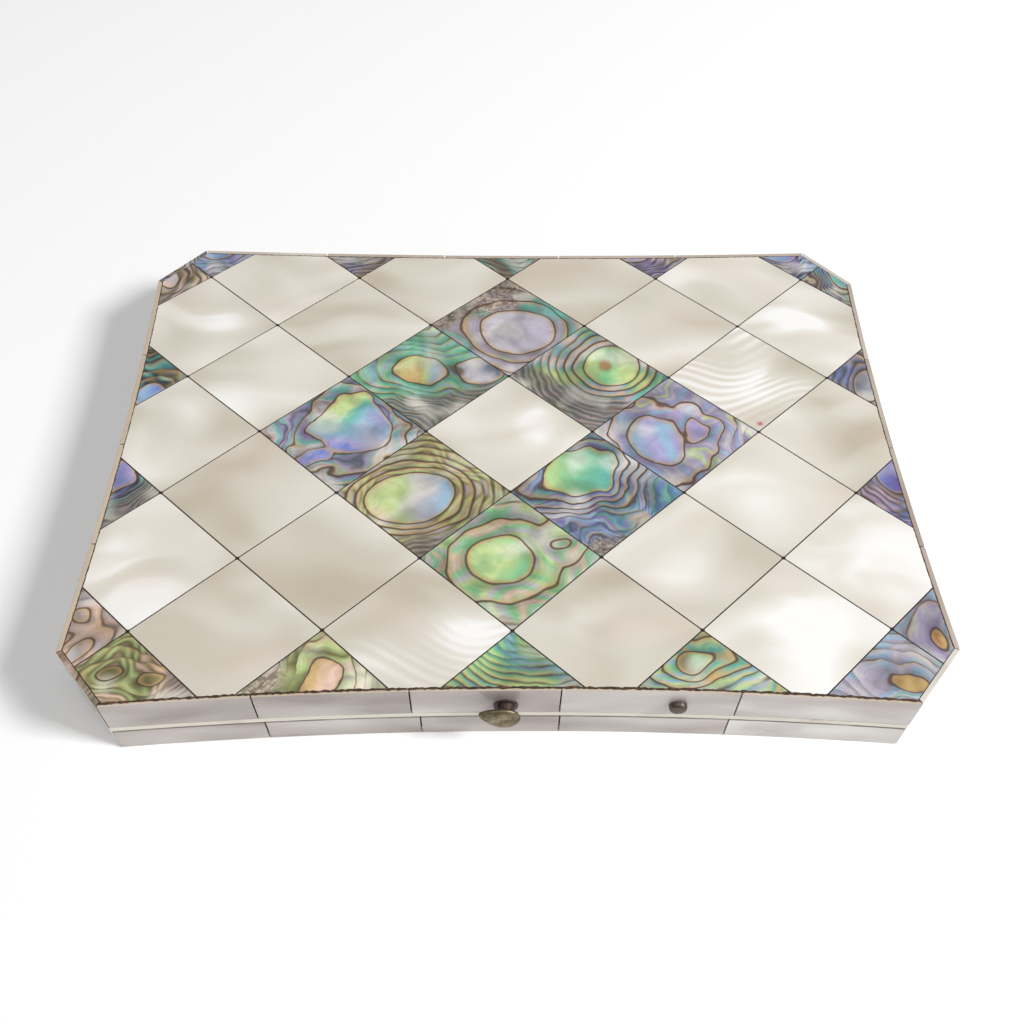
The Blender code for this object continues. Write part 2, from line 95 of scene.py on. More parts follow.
def plan_corners(inset):
    """Half width, half depth, half front edge and half side edge of the outline, moved inwards."""
    dx = HALF_WIDTH - HALF_FRONT_EDGE
    dy = HALF_DEPTH - HALF_SIDE_EDGE
    length = math.hypot(dx, dy)
    nx, ny = dy / length, dx / length
    reach = nx * HALF_WIDTH + ny * HALF_SIDE_EDGE - inset
    half_width = HALF_WIDTH - inset
    half_depth = HALF_DEPTH - inset
    return half_width, half_depth, (reach - ny * half_depth) / nx, (reach - nx * half_width) / ny


def edge_shape(side, inset):
    """Half length, distance out and hollow of one edge of the outline."""
    half_width, half_depth, half_front, half_side = plan_corners(inset)
    if side == "front":
        return half_front, half_depth, FRONT_SAG / HALF_FRONT_EDGE ** 2
    if side == "back":
        return half_front, half_depth, BACK_SAG / HALF_FRONT_EDGE ** 2
    return half_side, half_width, SIDE_SAG / HALF_SIDE_EDGE ** 2


def bowed(shape, along):
    """Distance out at one place along a hollow edge."""
    half, distance, hollow = shape
    return distance - hollow * (half ** 2 - along ** 2)


def place(side, along, out):
    """A plan point from its place along an edge, which runs counter-clockwise, and its distance out."""
    if side == "front":
        return along, -out
    if side == "right":
        return out, along
    if side == "back":
        return -along, out
    return -out, -along


def edge_curve(side, inset, start, end):
    """Points along a hollow edge between two places on it."""
    shape = edge_shape(side, inset)
    steps = max(1, round(abs(end - start) / ARC_STEP))
    stops = [start + (end - start) * step / steps for step in range(steps + 1)]
    return [place(side, along, bowed(shape, along)) for along in stops]


def outline(inset):
    points = []
    for side in SIDES:
        half = edge_shape(side, inset)[0]
        points += edge_curve(side, inset, -half, half)
    return points


def field_edge(side):
    """Half length, distance out and hollow of one edge of the inlaid field."""
    half, distance, hollow = edge_shape(side, FIELD_INSET)
    if side == "front":
        distance += STRIP - FRONT_STRIP
    return half, distance, hollow


# ---------------------------------------------------------------- meshes

def link(name, data, origin=(0.0, 0.0, 0.0)):
    piece = bpy.data.objects.new(name, data)
    piece.location = origin
    bpy.context.scene.collection.objects.link(piece)
    return piece


def as_mesh(shape, name):
    mesh = bpy.data.meshes.new(name)
    shape.to_mesh(mesh)
    shape.free()
    return mesh


def slab(name, points, low, high, origin=(0.0, 0.0), bevel=TILE_BEVEL):
    """A flat piece from its plan outline, with slightly worn edges. Its origin is at its top face."""
    shape = bmesh.new()
    corners = [
        shape.verts.new(((x - origin[0]) * MM, (y - origin[1]) * MM, (low - high) * MM))
        for x, y in points
    ]
    bottom = shape.faces.new(corners)
    lifted = bmesh.ops.extrude_face_region(shape, geom=[bottom])
    top = [item for item in lifted["geom"] if isinstance(item, bmesh.types.BMVert)]
    bmesh.ops.translate(shape, vec=(0.0, 0.0, (high - low) * MM), verts=top)
    bmesh.ops.recalc_face_normals(shape, faces=shape.faces)
    piece = link(name, as_mesh(shape, name), (origin[0] * MM, origin[1] * MM, high * MM))
    if bevel:
        soften(piece, bevel)
    return piece


def soften(piece, width, segments=2):
    edge = piece.modifiers.new("worn_edges", "BEVEL")
    edge.width = width * MM
    edge.segments = segments
    edge.limit_method = "ANGLE"
    edge.angle_limit = math.radians(BEVEL_ANGLE)


def cut_away(piece, cutter):
    """Cuts a shape out of a piece, below its bevel, and removes the cutter."""
    hole = piece.modifiers.new("cut", "BOOLEAN")
    hole.operation = "DIFFERENCE"
    hole.solver = "EXACT"
    hole.object = cutter
    piece.modifiers.move(len(piece.modifiers) - 1, 0)
    bpy.context.view_layer.update()
    kept = [modifier for modifier in piece.modifiers if modifier.type == "BEVEL"]
    for modifier in kept:
        modifier.show_viewport = False
    bpy.context.view_layer.update()
    evaluated = piece.evaluated_get(bpy.context.evaluated_depsgraph_get())
    mesh = bpy.data.meshes.new_from_object(evaluated)
    piece.modifiers.remove(hole)
    for modifier in kept:
        modifier.show_viewport = True
    piece.data = mesh
    bpy.data.objects.remove(cutter, do_unlink=True)


def cutter_box(low, high):
    shape = bmesh.new()
    bmesh.ops.create_cube(shape, size=1.0)
    size = [(b - a) * MM for a, b in zip(low, high)]
    bmesh.ops.scale(shape, vec=size, verts=shape.verts)
    return link("cutter", as_mesh(shape, "cutter"), [(a + b) / 2.0 * MM for a, b in zip(low, high)])


def cutter_rod(x, y, z, radius, length):
    """A round cutter along Y, centred on a point."""
    shape = bmesh.new()
    bmesh.ops.create_cone(
        shape, cap_ends=True, segments=CUTTER_SIDES, radius1=radius * MM, radius2=radius * MM,
        depth=length * MM)
    bmesh.ops.rotate(shape, matrix=Matrix.Rotation(math.pi / 2.0, 3, "X"), verts=shape.verts)
    return link("cutter", as_mesh(shape, "cutter"), (x * MM, y * MM, z * MM))


# ---------------------------------------------------------------- inlay lattice

def lattice_place(u, v):
    return u * DIAGONAL_X + LATTICE_SHIFT[0], v * DIAGONAL_Y + LATTICE_SHIFT[1]


def lattice_corner(u, v, salt):
    """A corner of the diamonds, laid by hand and so a little off its true place."""
    hand = random.Random(round(2 * u) * SEED_STEPS[0] + round(2 * v) * SEED_STEPS[1] + salt)
    return [value + hand.uniform(-LATTICE_WOBBLE, LATTICE_WOBBLE) for value in lattice_place(u, v)]


def outside(point, edge):
    """How far a plan point lies outside one edge or one clipped corner of the inlaid field."""
    x, y = point
    if edge in SIDES:
        along, out = {"front": (x, -y), "back": (x, y), "right": (y, x), "left": (y, -x)}[edge]
        return out - bowed(field_edge(edge), along)
    half_width, _, _, half_side = plan_corners(FIELD_INSET)
    dx = HALF_WIDTH - HALF_FRONT_EDGE
    dy = HALF_DEPTH - HALF_SIDE_EDGE
    length = math.hypot(dx, dy)
    reach = (dy * half_width + dx * half_side) / length
    return (dy * x * edge[0] + dx * y * edge[1]) / length - reach


def between(start, end, share):
    return tuple(a + (b - a) * share for a, b in zip(start, end))


def towards(start, end, length):
    """The point some millimetres along the line from one point to another."""
    return between(start, end, length / math.dist(start, end))


def crossing(inner, outer, edge):
    """The point where a line from inside to outside meets one edge of the field."""
    low, high = 0.0, 1.0
    for _ in range(HALVINGS):
        middle = (low + high) / 2.0
        if outside(between(inner, outer, middle), edge) > 0.0:
            high = middle
        else:
            low = middle
    return between(inner, outer, low)


def follow(start, end, edge):
    """Points between two places on one edge of the field."""
    if edge not in SIDES:
        return []
    axis = 0 if edge in ("front", "back") else 1
    steps = int(abs(end[axis] - start[axis]) / ARC_STEP)
    sign = -1.0 if edge in ("front", "left") else 1.0
    points = []
    for step in range(1, steps + 1):
        along = start[axis] + (end[axis] - start[axis]) * step / (steps + 1)
        out = sign * bowed(field_edge(edge), along)
        points.append((along, out) if axis == 0 else (out, along))
    return points


def clip(points, edge):
    """Cuts a convex plan outline back to one edge of the field."""
    state = [outside(point, edge) <= 0.0 for point in points]
    if all(state):
        return points
    if not any(state):
        return []
    result = []
    leaving = None
    count = len(points)
    first = next(i for i in range(count) if state[i] and not state[i - 1])
    for offset in range(count):
        here = (first + offset) % count
        after = (here + 1) % count
        if state[here]:
            result.append(points[here])
        if state[here] and not state[after]:
            leaving = crossing(points[here], points[after], edge)
            result.append(leaving)
        elif state[after] and not state[here]:
            entering = crossing(points[after], points[here], edge)
            result += follow(leaving, entering, edge)
            result.append(entering)
    return result


def middle_of(points):
    return [sum(values) / len(points) for values in zip(*points)]


def area(points):
    return 0.5 * sum(
        points[i - 1][0] * points[i][1] - points[i][0] * points[i - 1][1] for i in range(len(points)))


def tile_outline(u, v, salt):
    """Plan of one inlaid piece: its diamond, drawn in by half a joint and cut back to the field."""
    corners = [
        lattice_corner(u + 0.5, v, salt), lattice_corner(u, v + 0.5, salt),
        lattice_corner(u - 0.5, v, salt), lattice_corner(u, v - 0.5, salt)]
    centre = middle_of(corners)
    inradius = DIAGONAL_X * DIAGONAL_Y / 2.0 / math.hypot(DIAGONAL_X, DIAGONAL_Y)
    shrink = 1.0 - JOINT / 2.0 / inradius
    corners = [between(centre, corner, shrink) for corner in corners]
    points = []
    for before, corner, after in zip(corners[-1:] + corners, corners, corners[1:] + corners[:1]):
        points += [towards(corner, before, WORN_CORNER), towards(corner, after, WORN_CORNER)]
    for edge in (*SIDES, *CORNERS.values()):
        points = clip(points, edge)
        if not points:
            return []
    return points if area(points) > SMALLEST_PIECE else []


def lattice_centres():
    """Every place a diamond can take: a whole grid and the grid between its points."""
    whole = range(-LATTICE_REACH, LATTICE_REACH + 1)
    centres = [(u, v) for u in whole for v in whole]
    centres += [(u + 0.5, v + 0.5) for u in whole[:-1] for v in whole[:-1]]
    return sorted(centres)


# ---------------------------------------------------------------- node materials

class Shader:
    """A node material, with a short call for each kind of node that the looks need."""

    def __init__(self, name):
        self.material = bpy.data.materials.new(name)
        self.material.use_nodes = True
        self.tree = self.material.node_tree
        self.surface = self.tree.nodes["Principled BSDF"]

    def add(self, kind, inputs=(), **settings):
        node = self.tree.nodes.new(kind)
        for key, value in settings.items():
            setattr(node, key, value)
        for key, value in dict(inputs).items():
            self.feed(node.inputs[key], value)
        return node

    def feed(self, socket, value):
        if isinstance(value, bpy.types.NodeSocket):
            self.tree.links.new(value, socket)
        elif isinstance(value, (tuple, list)) and len(value) == 3 and socket.type == "RGBA":
            socket.default_value = (*value, 1.0)
        else:
            socket.default_value = value

    def math(self, operation, a, b=0.0, c=0.0):
        return self.add("ShaderNodeMath", {0: a, 1: b, 2: c}, operation=operation).outputs[0]

    def times(self, a, b):
        return self.math("MULTIPLY", a, b)

    def minus(self, a, b):
        return self.math("SUBTRACT", a, b)

    def about_zero(self, value):
        """A value that runs from 0 to 1, moved to run from -0.5 to 0.5."""
        return self.math("SUBTRACT", value, 0.5)

    def times_plus(self, a, b, c):
        """a times b, plus c."""
        return self.math("MULTIPLY_ADD", a, b, c)

    def vector(self, operation, a, b=(0.0, 0.0, 0.0), output="Vector"):
        return self.add("ShaderNodeVectorMath", {0: a, 1: b}, operation=operation).outputs[output]

    def wander(self, place_at, scale, detail):
        """A smoothly changing direction, for bending a figure."""
        return self.vector("SUBTRACT", self.noise(place_at, scale, detail, output="Color"), (0.5, 0.5, 0.5))

    def distance(self, place_at, centre):
        return self.vector("DISTANCE", place_at, centre, "Value")

    def along(self, place_at, angle, length=1.0):
        """How far a place lies in a direction, in lengths of the given size."""
        turn = math.radians(angle)
        facing = (math.cos(turn) / length, math.sin(turn) / length, 0.0)
        return self.vector("DOT_PRODUCT", place_at, facing, "Value")

    def part(self, vector, axis):
        """One component of a vector: 0, 1 or 2 for X, Y or Z."""
        return self.add("ShaderNodeSeparateXYZ", {0: vector}).outputs[axis]

    def scaled(self, a, factor):
        node = self.add("ShaderNodeVectorMath", {0: a}, operation="SCALE")
        self.feed(node.inputs["Scale"], factor)
        return node.outputs[0]

    def point(self):
        """Place on the piece in millimetres."""
        coordinates = self.add("ShaderNodeTexCoord").outputs["Object"]
        return self.scaled(coordinates, 1.0 / MM)

    def noise(self, place_at, scale, detail=3.0, roughness=0.5, distortion=0.0, output="Fac"):
        node = self.add(
            "ShaderNodeTexNoise",
            {"Vector": place_at, "Scale": scale, "Detail": detail, "Roughness": roughness,
             "Distortion": distortion})
        return node.outputs[output]

    def remap(self, value, low, high, to_low=0.0, to_high=1.0, smooth=True):
        node = self.add(
            "ShaderNodeMapRange",
            {"Value": value, "From Min": low, "From Max": high, "To Min": to_low, "To Max": to_high},
            interpolation_type="SMOOTHSTEP" if smooth else "LINEAR")
        return node.outputs["Result"]

    def mix(self, factor, a, b, blend="MIX"):
        node = self.add("ShaderNodeMix", data_type="RGBA", blend_type=blend)
        self.feed(node.inputs[0], factor)
        self.feed(node.inputs[6], a)
        self.feed(node.inputs[7], b)
        return node.outputs[2]

    def ramp(self, factor, colours):
        """A colour ramp with evenly spaced colours."""
        node = self.add("ShaderNodeValToRGB", {"Fac": factor})
        stops = node.color_ramp.elements
        while len(stops) < len(colours):
            stops.new(0.5)
        for index, colour in enumerate(colours):
            stops[index].position = index / (len(colours) - 1)
            stops[index].color = (*colour, 1.0)
        return node.outputs["Color"]

    def turned(self, place_at, angle, stretch=(1.0, 1.0, 1.0), shift=(0.0, 0.0, 0.0)):
        node = self.add(
            "ShaderNodeMapping",
            {"Vector": place_at, "Location": shift, "Rotation": (0.0, 0.0, math.radians(angle)),
             "Scale": stretch})
        return node.outputs[0]

    def bump(self, height, strength, distance):
        node = self.add("ShaderNodeBump", {"Height": height, "Strength": strength,
                                           "Distance": distance * MM})
        self.feed(self.surface.inputs["Normal"], node.outputs[0])

    def finish(self, colour, roughness, metallic=0.0, coat=0.0, coat_roughness=0.05):
        self.feed(self.surface.inputs["Base Color"], colour)
        self.feed(self.surface.inputs["Roughness"], roughness)
        self.feed(self.surface.inputs["Metallic"], metallic)
        self.surface.inputs["Coat Weight"].default_value = coat
        self.surface.inputs["Coat Roughness"].default_value = coat_roughness
        return self.material


def rgb(red, green, blue):
    """A display colour from 0 to 255 as the linear colour that a shader takes."""
    def linear(value):
        value /= 255.0
        return value / 12.92 if value <= 0.04045 else ((value + 0.055) / 1.055) ** 2.4
    return linear(red), linear(green), linear(blue)


# ---------------------------------------------------------------- shell

PEARL_SHADE = rgb(195, 184, 165)
PEARL_MIDDLE = rgb(213, 207, 193)
PEARL_LIGHT = rgb(229, 224, 213)
PEARL_WHITE = rgb(250, 249, 246)
PEARL_BLUSH = rgb(226, 203, 190)
STAIN_RED = rgb(206, 120, 132)

# Figure of the pearl: noise scales are per millimetre, reaches in millimetres
DRIFT_SCALE = 0.07
DRIFT_REACH = 12.0
CLOUD_SCALE = 0.10
FOLD_SCALE = 0.17
FIBRE_SCALE = 0.9
SILK_STRETCH = (0.4, 1.0, 1.0)
FIBRE_STRETCH = (0.4, 2.4, 1.0)
RIPPLE_BEND = 6.0
RIPPLE_TURN = 4.6


def pearl(name, seed, tone=0.5, grain=35.0, painted_highlight=None, ripple=0.0, folds_and_sheen=0.5, stain=None):
    """Polished mother-of-pearl: cloudy, with fold lines that carry a painted satin sheen, and ripples
    on some pieces.

    tone is how light the piece is, grain the direction of its silk in degrees, glow a painted
    highlight, a brighter patch as (x, y, radius, amount) in millimetres, ripple how strongly it is
    ridged, and stain a small red mark as (x, y, radius).
    """
    s = Shader(name)
    here = s.vector("ADD", s.point(), (seed * 13.7, seed * 7.3, seed * 3.1))
    drift = s.scaled(s.wander(here, DRIFT_SCALE, 0.0), DRIFT_REACH)
    silk = s.turned(s.vector("ADD", here, drift), grain, SILK_STRETCH)
    cloud = s.noise(silk, CLOUD_SCALE, 1.0, 0.4)
    fold = s.noise(silk, FOLD_SCALE, 0.5, 0.3, 0.3)
    fibre = s.noise(s.turned(silk, 0.0, FIBRE_STRETCH), FIBRE_SCALE, 3.0, 0.6)
    # The satin is a painted sheen: bright crease lines along the fold figure, added to the lightness.
    crease = s.minus(1.0, s.math("ABSOLUTE", s.times_plus(fold, 5.0, -2.7)))
    painted_sheen = s.remap(crease, 0.1, 1.0)
    light = s.times_plus(s.about_zero(cloud), 1.5, tone)
    light = s.times_plus(s.about_zero(fold), folds_and_sheen, light)
    light = s.times_plus(painted_sheen, folds_and_sheen * 0.1, light)
    light = s.times_plus(s.about_zero(fibre), 0.03, light)
    height = s.times_plus(fold, 0.7, s.times(fibre, 0.03))
    # The glow is a painted highlight: a brighter patch, stronger where the painted satin sheen runs.
    if painted_highlight:
        x, y, radius, amount = painted_highlight
        bent = s.vector("ADD", s.point(), s.scaled(drift, 0.4))
        patch = s.remap(s.distance(bent, (x, y, 0.0)), radius, 0.0, 0.0, amount)
        light = s.times_plus(patch, s.times_plus(painted_sheen, 0.5, 0.5), light)
    if ripple:
        across = s.part(silk, 1)
        waves = s.math("SINE", s.times_plus(fold, RIPPLE_BEND, s.times(across, RIPPLE_TURN)))
        where = s.times(s.remap(cloud, 0.35, 0.6), ripple)
        light = s.times_plus(s.times(waves, where), 0.14, light)
        height = s.times_plus(s.times(waves, where), 0.2, height)
    colour = s.ramp(light, [PEARL_SHADE, PEARL_MIDDLE, PEARL_LIGHT, PEARL_WHITE])
    blush = s.remap(s.noise(silk, 0.14, 1.0), 0.5, 0.75, 0.0, 0.2)
    colour = s.mix(blush, colour, PEARL_BLUSH)
    tint = s.noise(silk, 0.17, 1.0, output="Color")
    colour = s.mix(0.06, colour, s.mix(0.5, PEARL_BLUSH, tint), "SOFT_LIGHT")
    if stain:
        x, y, radius = stain
        away = s.distance(s.point(), (x, y, 0.0))
        ragged = s.times_plus(s.noise(here, 2.2, 3.0, 0.7), 1.6, away)
        colour = s.mix(s.remap(ragged, radius + 1.0, radius + 0.5), colour, STAIN_RED)
    s.bump(height, 0.18, 0.3)
    rough = s.remap(fibre, 0.3, 0.7, 0.2, 0.3)
    return s.finish(colour, rough, coat=0.3, coat_roughness=0.1)


LINE_BROWN = rgb(84, 58, 42)
LINE_GOLD = rgb(184, 150, 92)
STRATA_DARK = rgb(78, 68, 70)
STRATA_MIDDLE = rgb(112, 98, 94)
STRATA_LIGHT = rgb(150, 140, 136)
CRUST_PALE = rgb(176, 160, 142)
CRUST_DARK = rgb(84, 70, 60)

TEAL = rgb(92, 172, 158)
GREEN = rgb(122, 188, 134)
LIME = rgb(182, 202, 134)
GOLD = rgb(204, 172, 110)
PINK = rgb(212, 178, 160)
LILAC = rgb(158, 148, 190)
VIOLET = rgb(112, 94, 168)
BLUE = rgb(96, 120, 184)
SKY = rgb(136, 172, 196)
SILVER = rgb(182, 178, 184)
GREY_LILAC = rgb(168, 160, 178)
SLATE = rgb(94, 102, 114)
OLIVE = rgb(118, 112, 70)
RUST = rgb(160, 108, 62)
NIGHT = rgb(44, 54, 82)
STRATA = (STRATA_DARK, STRATA_MIDDLE, STRATA_LIGHT, STRATA_MIDDLE, STRATA_DARK)
CRUST = (CRUST_DARK, STRATA_MIDDLE, CRUST_PALE, PINK)

# Figure of the abalone: noise scales are per millimetre, other lengths in millimetres
BROAD_SCALE = 0.15
BROAD_BEND = 2.4
FINE_SCALE = 0.5
FINE_BEND = 0.3
FINE_LINES_A_BAND = 4.0
STRATA_PITCH = 0.9
SIDE_WOBBLE = 5.0
SATURATION = 0.94


def eye_distance(s, warped, eye):
    """Millimetres outside one oval eye of growth, given as (x, y, radius x, radius y, angle)."""
    x, y, radius_x, radius_y, angle = eye
    local = s.vector("SUBTRACT", warped, (x, y, 0.0))
    turned = s.turned(local, -angle, (1.0, 1.0, 0.0))
    oval = s.vector("MULTIPLY", turned, (1.0 / radius_x, 1.0 / radius_y, 0.0))
    length = s.vector("LENGTH", oval, output="Value")
    return s.times(s.minus(length, 1.0), math.sqrt(radius_x * radius_y))


def abalone(name, seed, eyes, palette, pitch=1.9, warp=2.2, heart=None, strata=None, crust=None,
            patch=None, line=0.18, swirl=1.0, sweep=None, rings=1):
    """Polished abalone: brown growth lines round oval eyes, with bands of changing colour between.

    palette is the colours met on the way out from the eyes, heart the colours inside them, pitch
    the spacing of the growth lines, warp how far they wander, rings how many of them are unbroken,
    line their thickness, and swirl how much the colour changes across one band. sweep is the run of
    the heart's colours as (direction in degrees, middle, length), strata a dark layered side as
    (direction in degrees, start), crust a crumbling side in the same form, and patch a differently
    coloured spot as (x, y, radius, colour). Lengths are in millimetres.
    """
    s = Shader(name)
    here = s.point()
    seeded = s.vector("ADD", here, (seed * 11.3, seed * 5.9, seed * 2.3))
    broad = s.wander(seeded, BROAD_SCALE, 1.0)
    fine = s.wander(seeded, FINE_SCALE, 1.0)
    freedom = s.remap(eye_distance(s, here, eyes[0]), -3.0, 4.0, 0.45, 1.0)
    bend = s.vector("ADD", s.scaled(broad, warp * BROAD_BEND), s.scaled(fine, warp * FINE_BEND))
    warped = s.vector("ADD", here, s.scaled(bend, freedom))
    reach = eye_distance(s, warped, eyes[0])
    for eye in eyes[1:]:
        reach = s.math("SMOOTH_MIN", reach, eye_distance(s, warped, eye), 1.0)
    # Growth lines at uneven spacing: thin brown, with a golden margin on the inner side
    uneven = s.about_zero(s.noise(seeded, 0.2, 1.0))
    outward = s.remap(reach, 0.0, pitch, 0.0, 0.9)
    phase = s.times_plus(uneven, s.times(outward, 0.7), s.math("DIVIDE", reach, pitch))
    saw = s.math("FRACT", phase)
    away = s.times(s.math("MINIMUM", saw, s.minus(1.0, saw)), pitch)
    before = s.times(s.minus(1.0, saw), pitch)
    outside_eye = s.remap(phase, -0.12, 0.0, 0.0, 1.0)
    near_eye = s.remap(phase, -0.6, -0.05, 0.0, 1.0)
    weight = s.remap(s.noise(seeded, 0.24, 1.0), 0.36, 0.62, 0.15, 0.85)
    weight = s.math("MAXIMUM", weight, s.remap(phase, rings - 0.4, rings - 0.7))
    lines = s.times(s.remap(away, line * 1.5, line * 0.3), s.times(outside_eye, weight))
    margin = s.times(s.remap(before, line * 6.0, line), s.times(near_eye, weight))
    # Colour runs through a part of the palette in each band and drifts over the whole piece
    drift = s.noise(s.vector("ADD", warped, (seed * 3.3, seed * 8.1, 0.0)), 0.14, 0.0)
    flake = s.noise(seeded, 0.45, 3.0, 0.6, 1.0)
    travel = s.times_plus(saw, 0.5 * swirl, s.times(drift, 4.2))
    travel = s.times_plus(phase, 0.16, travel)
    travel = s.times_plus(flake, 0.18, travel)
    colour = s.ramp(s.math("PINGPONG", travel, 1.0), palette)
    if heart:
        angle, middle, length = sweep or (0.0, eyes[0][0], 2.0 * eyes[0][2])
        run = s.math("ADD", s.along(warped, angle, length), 0.5 - middle / length)
        run = s.times_plus(s.about_zero(drift), 1.2, run)
        inner = s.ramp(s.times_plus(s.about_zero(flake), 0.35, run), heart)
        colour = s.mix(outside_eye, inner, colour)
    growth = s.times_plus(fine_value(s, seeded), 1.2, s.times(phase, FINE_LINES_A_BAND))
    growth = s.math("FRACT", growth)
    ridge = s.remap(s.math("ABSOLUTE", s.about_zero(growth)), 0.2, 0.0)
    colour = s.mix(s.times(s.times(ridge, outside_eye), 0.12), colour, STRATA_DARK)
    dusk = s.times(s.remap(saw, 0.7, 0.0), s.times(outside_eye, 0.5))
    colour = s.mix(dusk, colour, STRATA_LIGHT, "MULTIPLY")
    colour = s.mix(s.times(margin, 0.65), colour, LINE_GOLD)
    if patch:
        x, y, radius, patch_colour = patch
        spot = s.distance(warped, (x, y, 0.0))
        colour = s.mix(s.remap(spot, radius, radius * 0.4, 0.0, 0.85), colour, patch_colour)
    if strata:
        side = side_mask(s, here, strata, broad)
        layer = s.times_plus(fine_value(s, seeded), 1.4, s.math("DIVIDE", reach, STRATA_PITCH))
        layered = s.ramp(s.math("FRACT", layer), STRATA)
        colour = s.mix(s.times(side, 0.8), colour, layered)
        lines = s.times(lines, s.minus(1.0, s.times(side, 0.5)))
    if crust:
        side = side_mask(s, here, crust, broad)
        crumb = s.noise(seeded, 1.3, 4.0, 0.7, 0.8)
        crusted = s.ramp(s.remap(crumb, 0.3, 0.7, smooth=False), CRUST)
        colour = s.mix(s.times(side, 0.85), colour, crusted)
    colour = s.mix(s.times(lines, 0.9), colour, LINE_BROWN)
    # Painted highlight: pale patches where a broad noise is high, kept off the growth lines.
    painted_glint = s.remap(s.noise(seeded, 0.22, 0.0), 0.55, 0.8, 0.0, 0.5)
    colour = s.mix(s.times(painted_glint, s.minus(1.0, lines)), colour, PEARL_LIGHT)
    shade = s.noise(seeded, 0.2, 1.0, 0.5, 0.4)
    shine = s.times(s.remap(flake, 0.35, 0.65, 0.92, 1.08), s.remap(shade, 0.34, 0.66, 0.82, 1.26))
    toned = s.add("ShaderNodeHueSaturation", {"Color": colour, "Value": shine, "Saturation": SATURATION})
    colour = toned.outputs[0]
    s.bump(s.minus(s.times(flake, 0.5), lines), 0.2, 0.12)
    return s.finish(colour, s.remap(lines, 0.0, 1.0, 0.2, 0.42), coat=0.5, coat_roughness=0.08)


def fine_value(s, place_at):
    return s.noise(place_at, 0.4, 2.0)


def side_mask(s, here, side, wobble):
    """From 0 to 1 across a wavering line that faces a direction and starts at a distance."""
    angle, start = side
    bent = s.vector("ADD", here, s.scaled(wobble, SIDE_WOBBLE))
    return s.remap(s.along(bent, angle), start - 0.8, start + 1.2)


# Pearl pieces of the top, by lattice place: glows (painted highlights) and stains in millimetres from the
# piece's centre
PEARLS = {
    (0, 0): dict(tone=0.5, grain=20.0, painted_highlight=(4.5, 1.0, 5.5, 0.75), folds_and_sheen=0.7),
    (-1, 1): dict(tone=0.42, grain=-35.0, folds_and_sheen=0.5),
    (1, 1): dict(tone=0.5, grain=-30.0, painted_highlight=(-2.0, 2.0, 5.0, 0.2), folds_and_sheen=0.4),
    (-1, -1): dict(tone=0.36, grain=-20.0, folds_and_sheen=0.35),
    (1, -1): dict(tone=0.42, grain=60.0, painted_highlight=(-3.0, -2.0, 6.0, 0.25), folds_and_sheen=0.4),
    (-1.5, 0.5): dict(tone=0.55, grain=-15.0, folds_and_sheen=0.7),
    (1.5, 0.5): dict(tone=0.55, grain=-30.0, ripple=1.5, painted_highlight=(3.0, -1.0, 8.0, 0.5), folds_and_sheen=0.5,
        stain=(0.5, -9.2, 0.5)),
    (-1.5, -0.5): dict(tone=0.3, grain=40.0, folds_and_sheen=0.3),
    (1.5, -0.5): dict(tone=0.42, grain=-50.0, painted_highlight=(-3.0, 0.0, 7.0, 0.2), folds_and_sheen=0.6),
    (-0.5, 1.5): dict(tone=0.42, grain=-40.0, folds_and_sheen=0.6),
    (0.5, 1.5): dict(tone=0.4, grain=30.0, folds_and_sheen=0.35),
    (-1.5, 1.5): dict(tone=0.5, grain=-20.0, folds_and_sheen=0.7),
    (1.5, 1.5): dict(tone=0.45, grain=40.0, folds_and_sheen=0.5),
    (-0.5, -1.5): dict(tone=0.5, grain=25.0, painted_highlight=(7.0, 0.0, 6.0, 0.6), ripple=0.8, folds_and_sheen=0.4),
    (0.5, -1.5): dict(tone=0.42, grain=70.0, folds_and_sheen=0.8),
    (-1.5, -1.5): dict(tone=0.36, grain=10.0, folds_and_sheen=0.3),
    (1.5, -1.5): dict(tone=0.66, grain=35.0, painted_highlight=(0.0, 0.0, 9.0, 0.25), folds_and_sheen=0.5),
    (-2, 1): dict(tone=0.34, grain=55.0, painted_highlight=(4.0, 0.0, 6.0, 0.4), folds_and_sheen=0.8),
    (2, 1): dict(tone=0.6, grain=-45.0, painted_highlight=(-3.0, 0.0, 7.0, 0.5), folds_and_sheen=0.9),
    (-2, 0): dict(tone=0.45, grain=35.0, painted_highlight=(2.0, 3.0, 5.0, 0.5), folds_and_sheen=0.7),
    (2, 0): dict(tone=0.5, grain=-40.0, folds_and_sheen=0.6),
    (-2, -1): dict(tone=0.5, grain=30.0, painted_highlight=(-3.0, 2.0, 6.0, 0.5), folds_and_sheen=0.7),
    (2, -1): dict(tone=0.65, grain=-20.0, painted_highlight=(0.0, -3.0, 7.0, 0.4), folds_and_sheen=0.7),
}

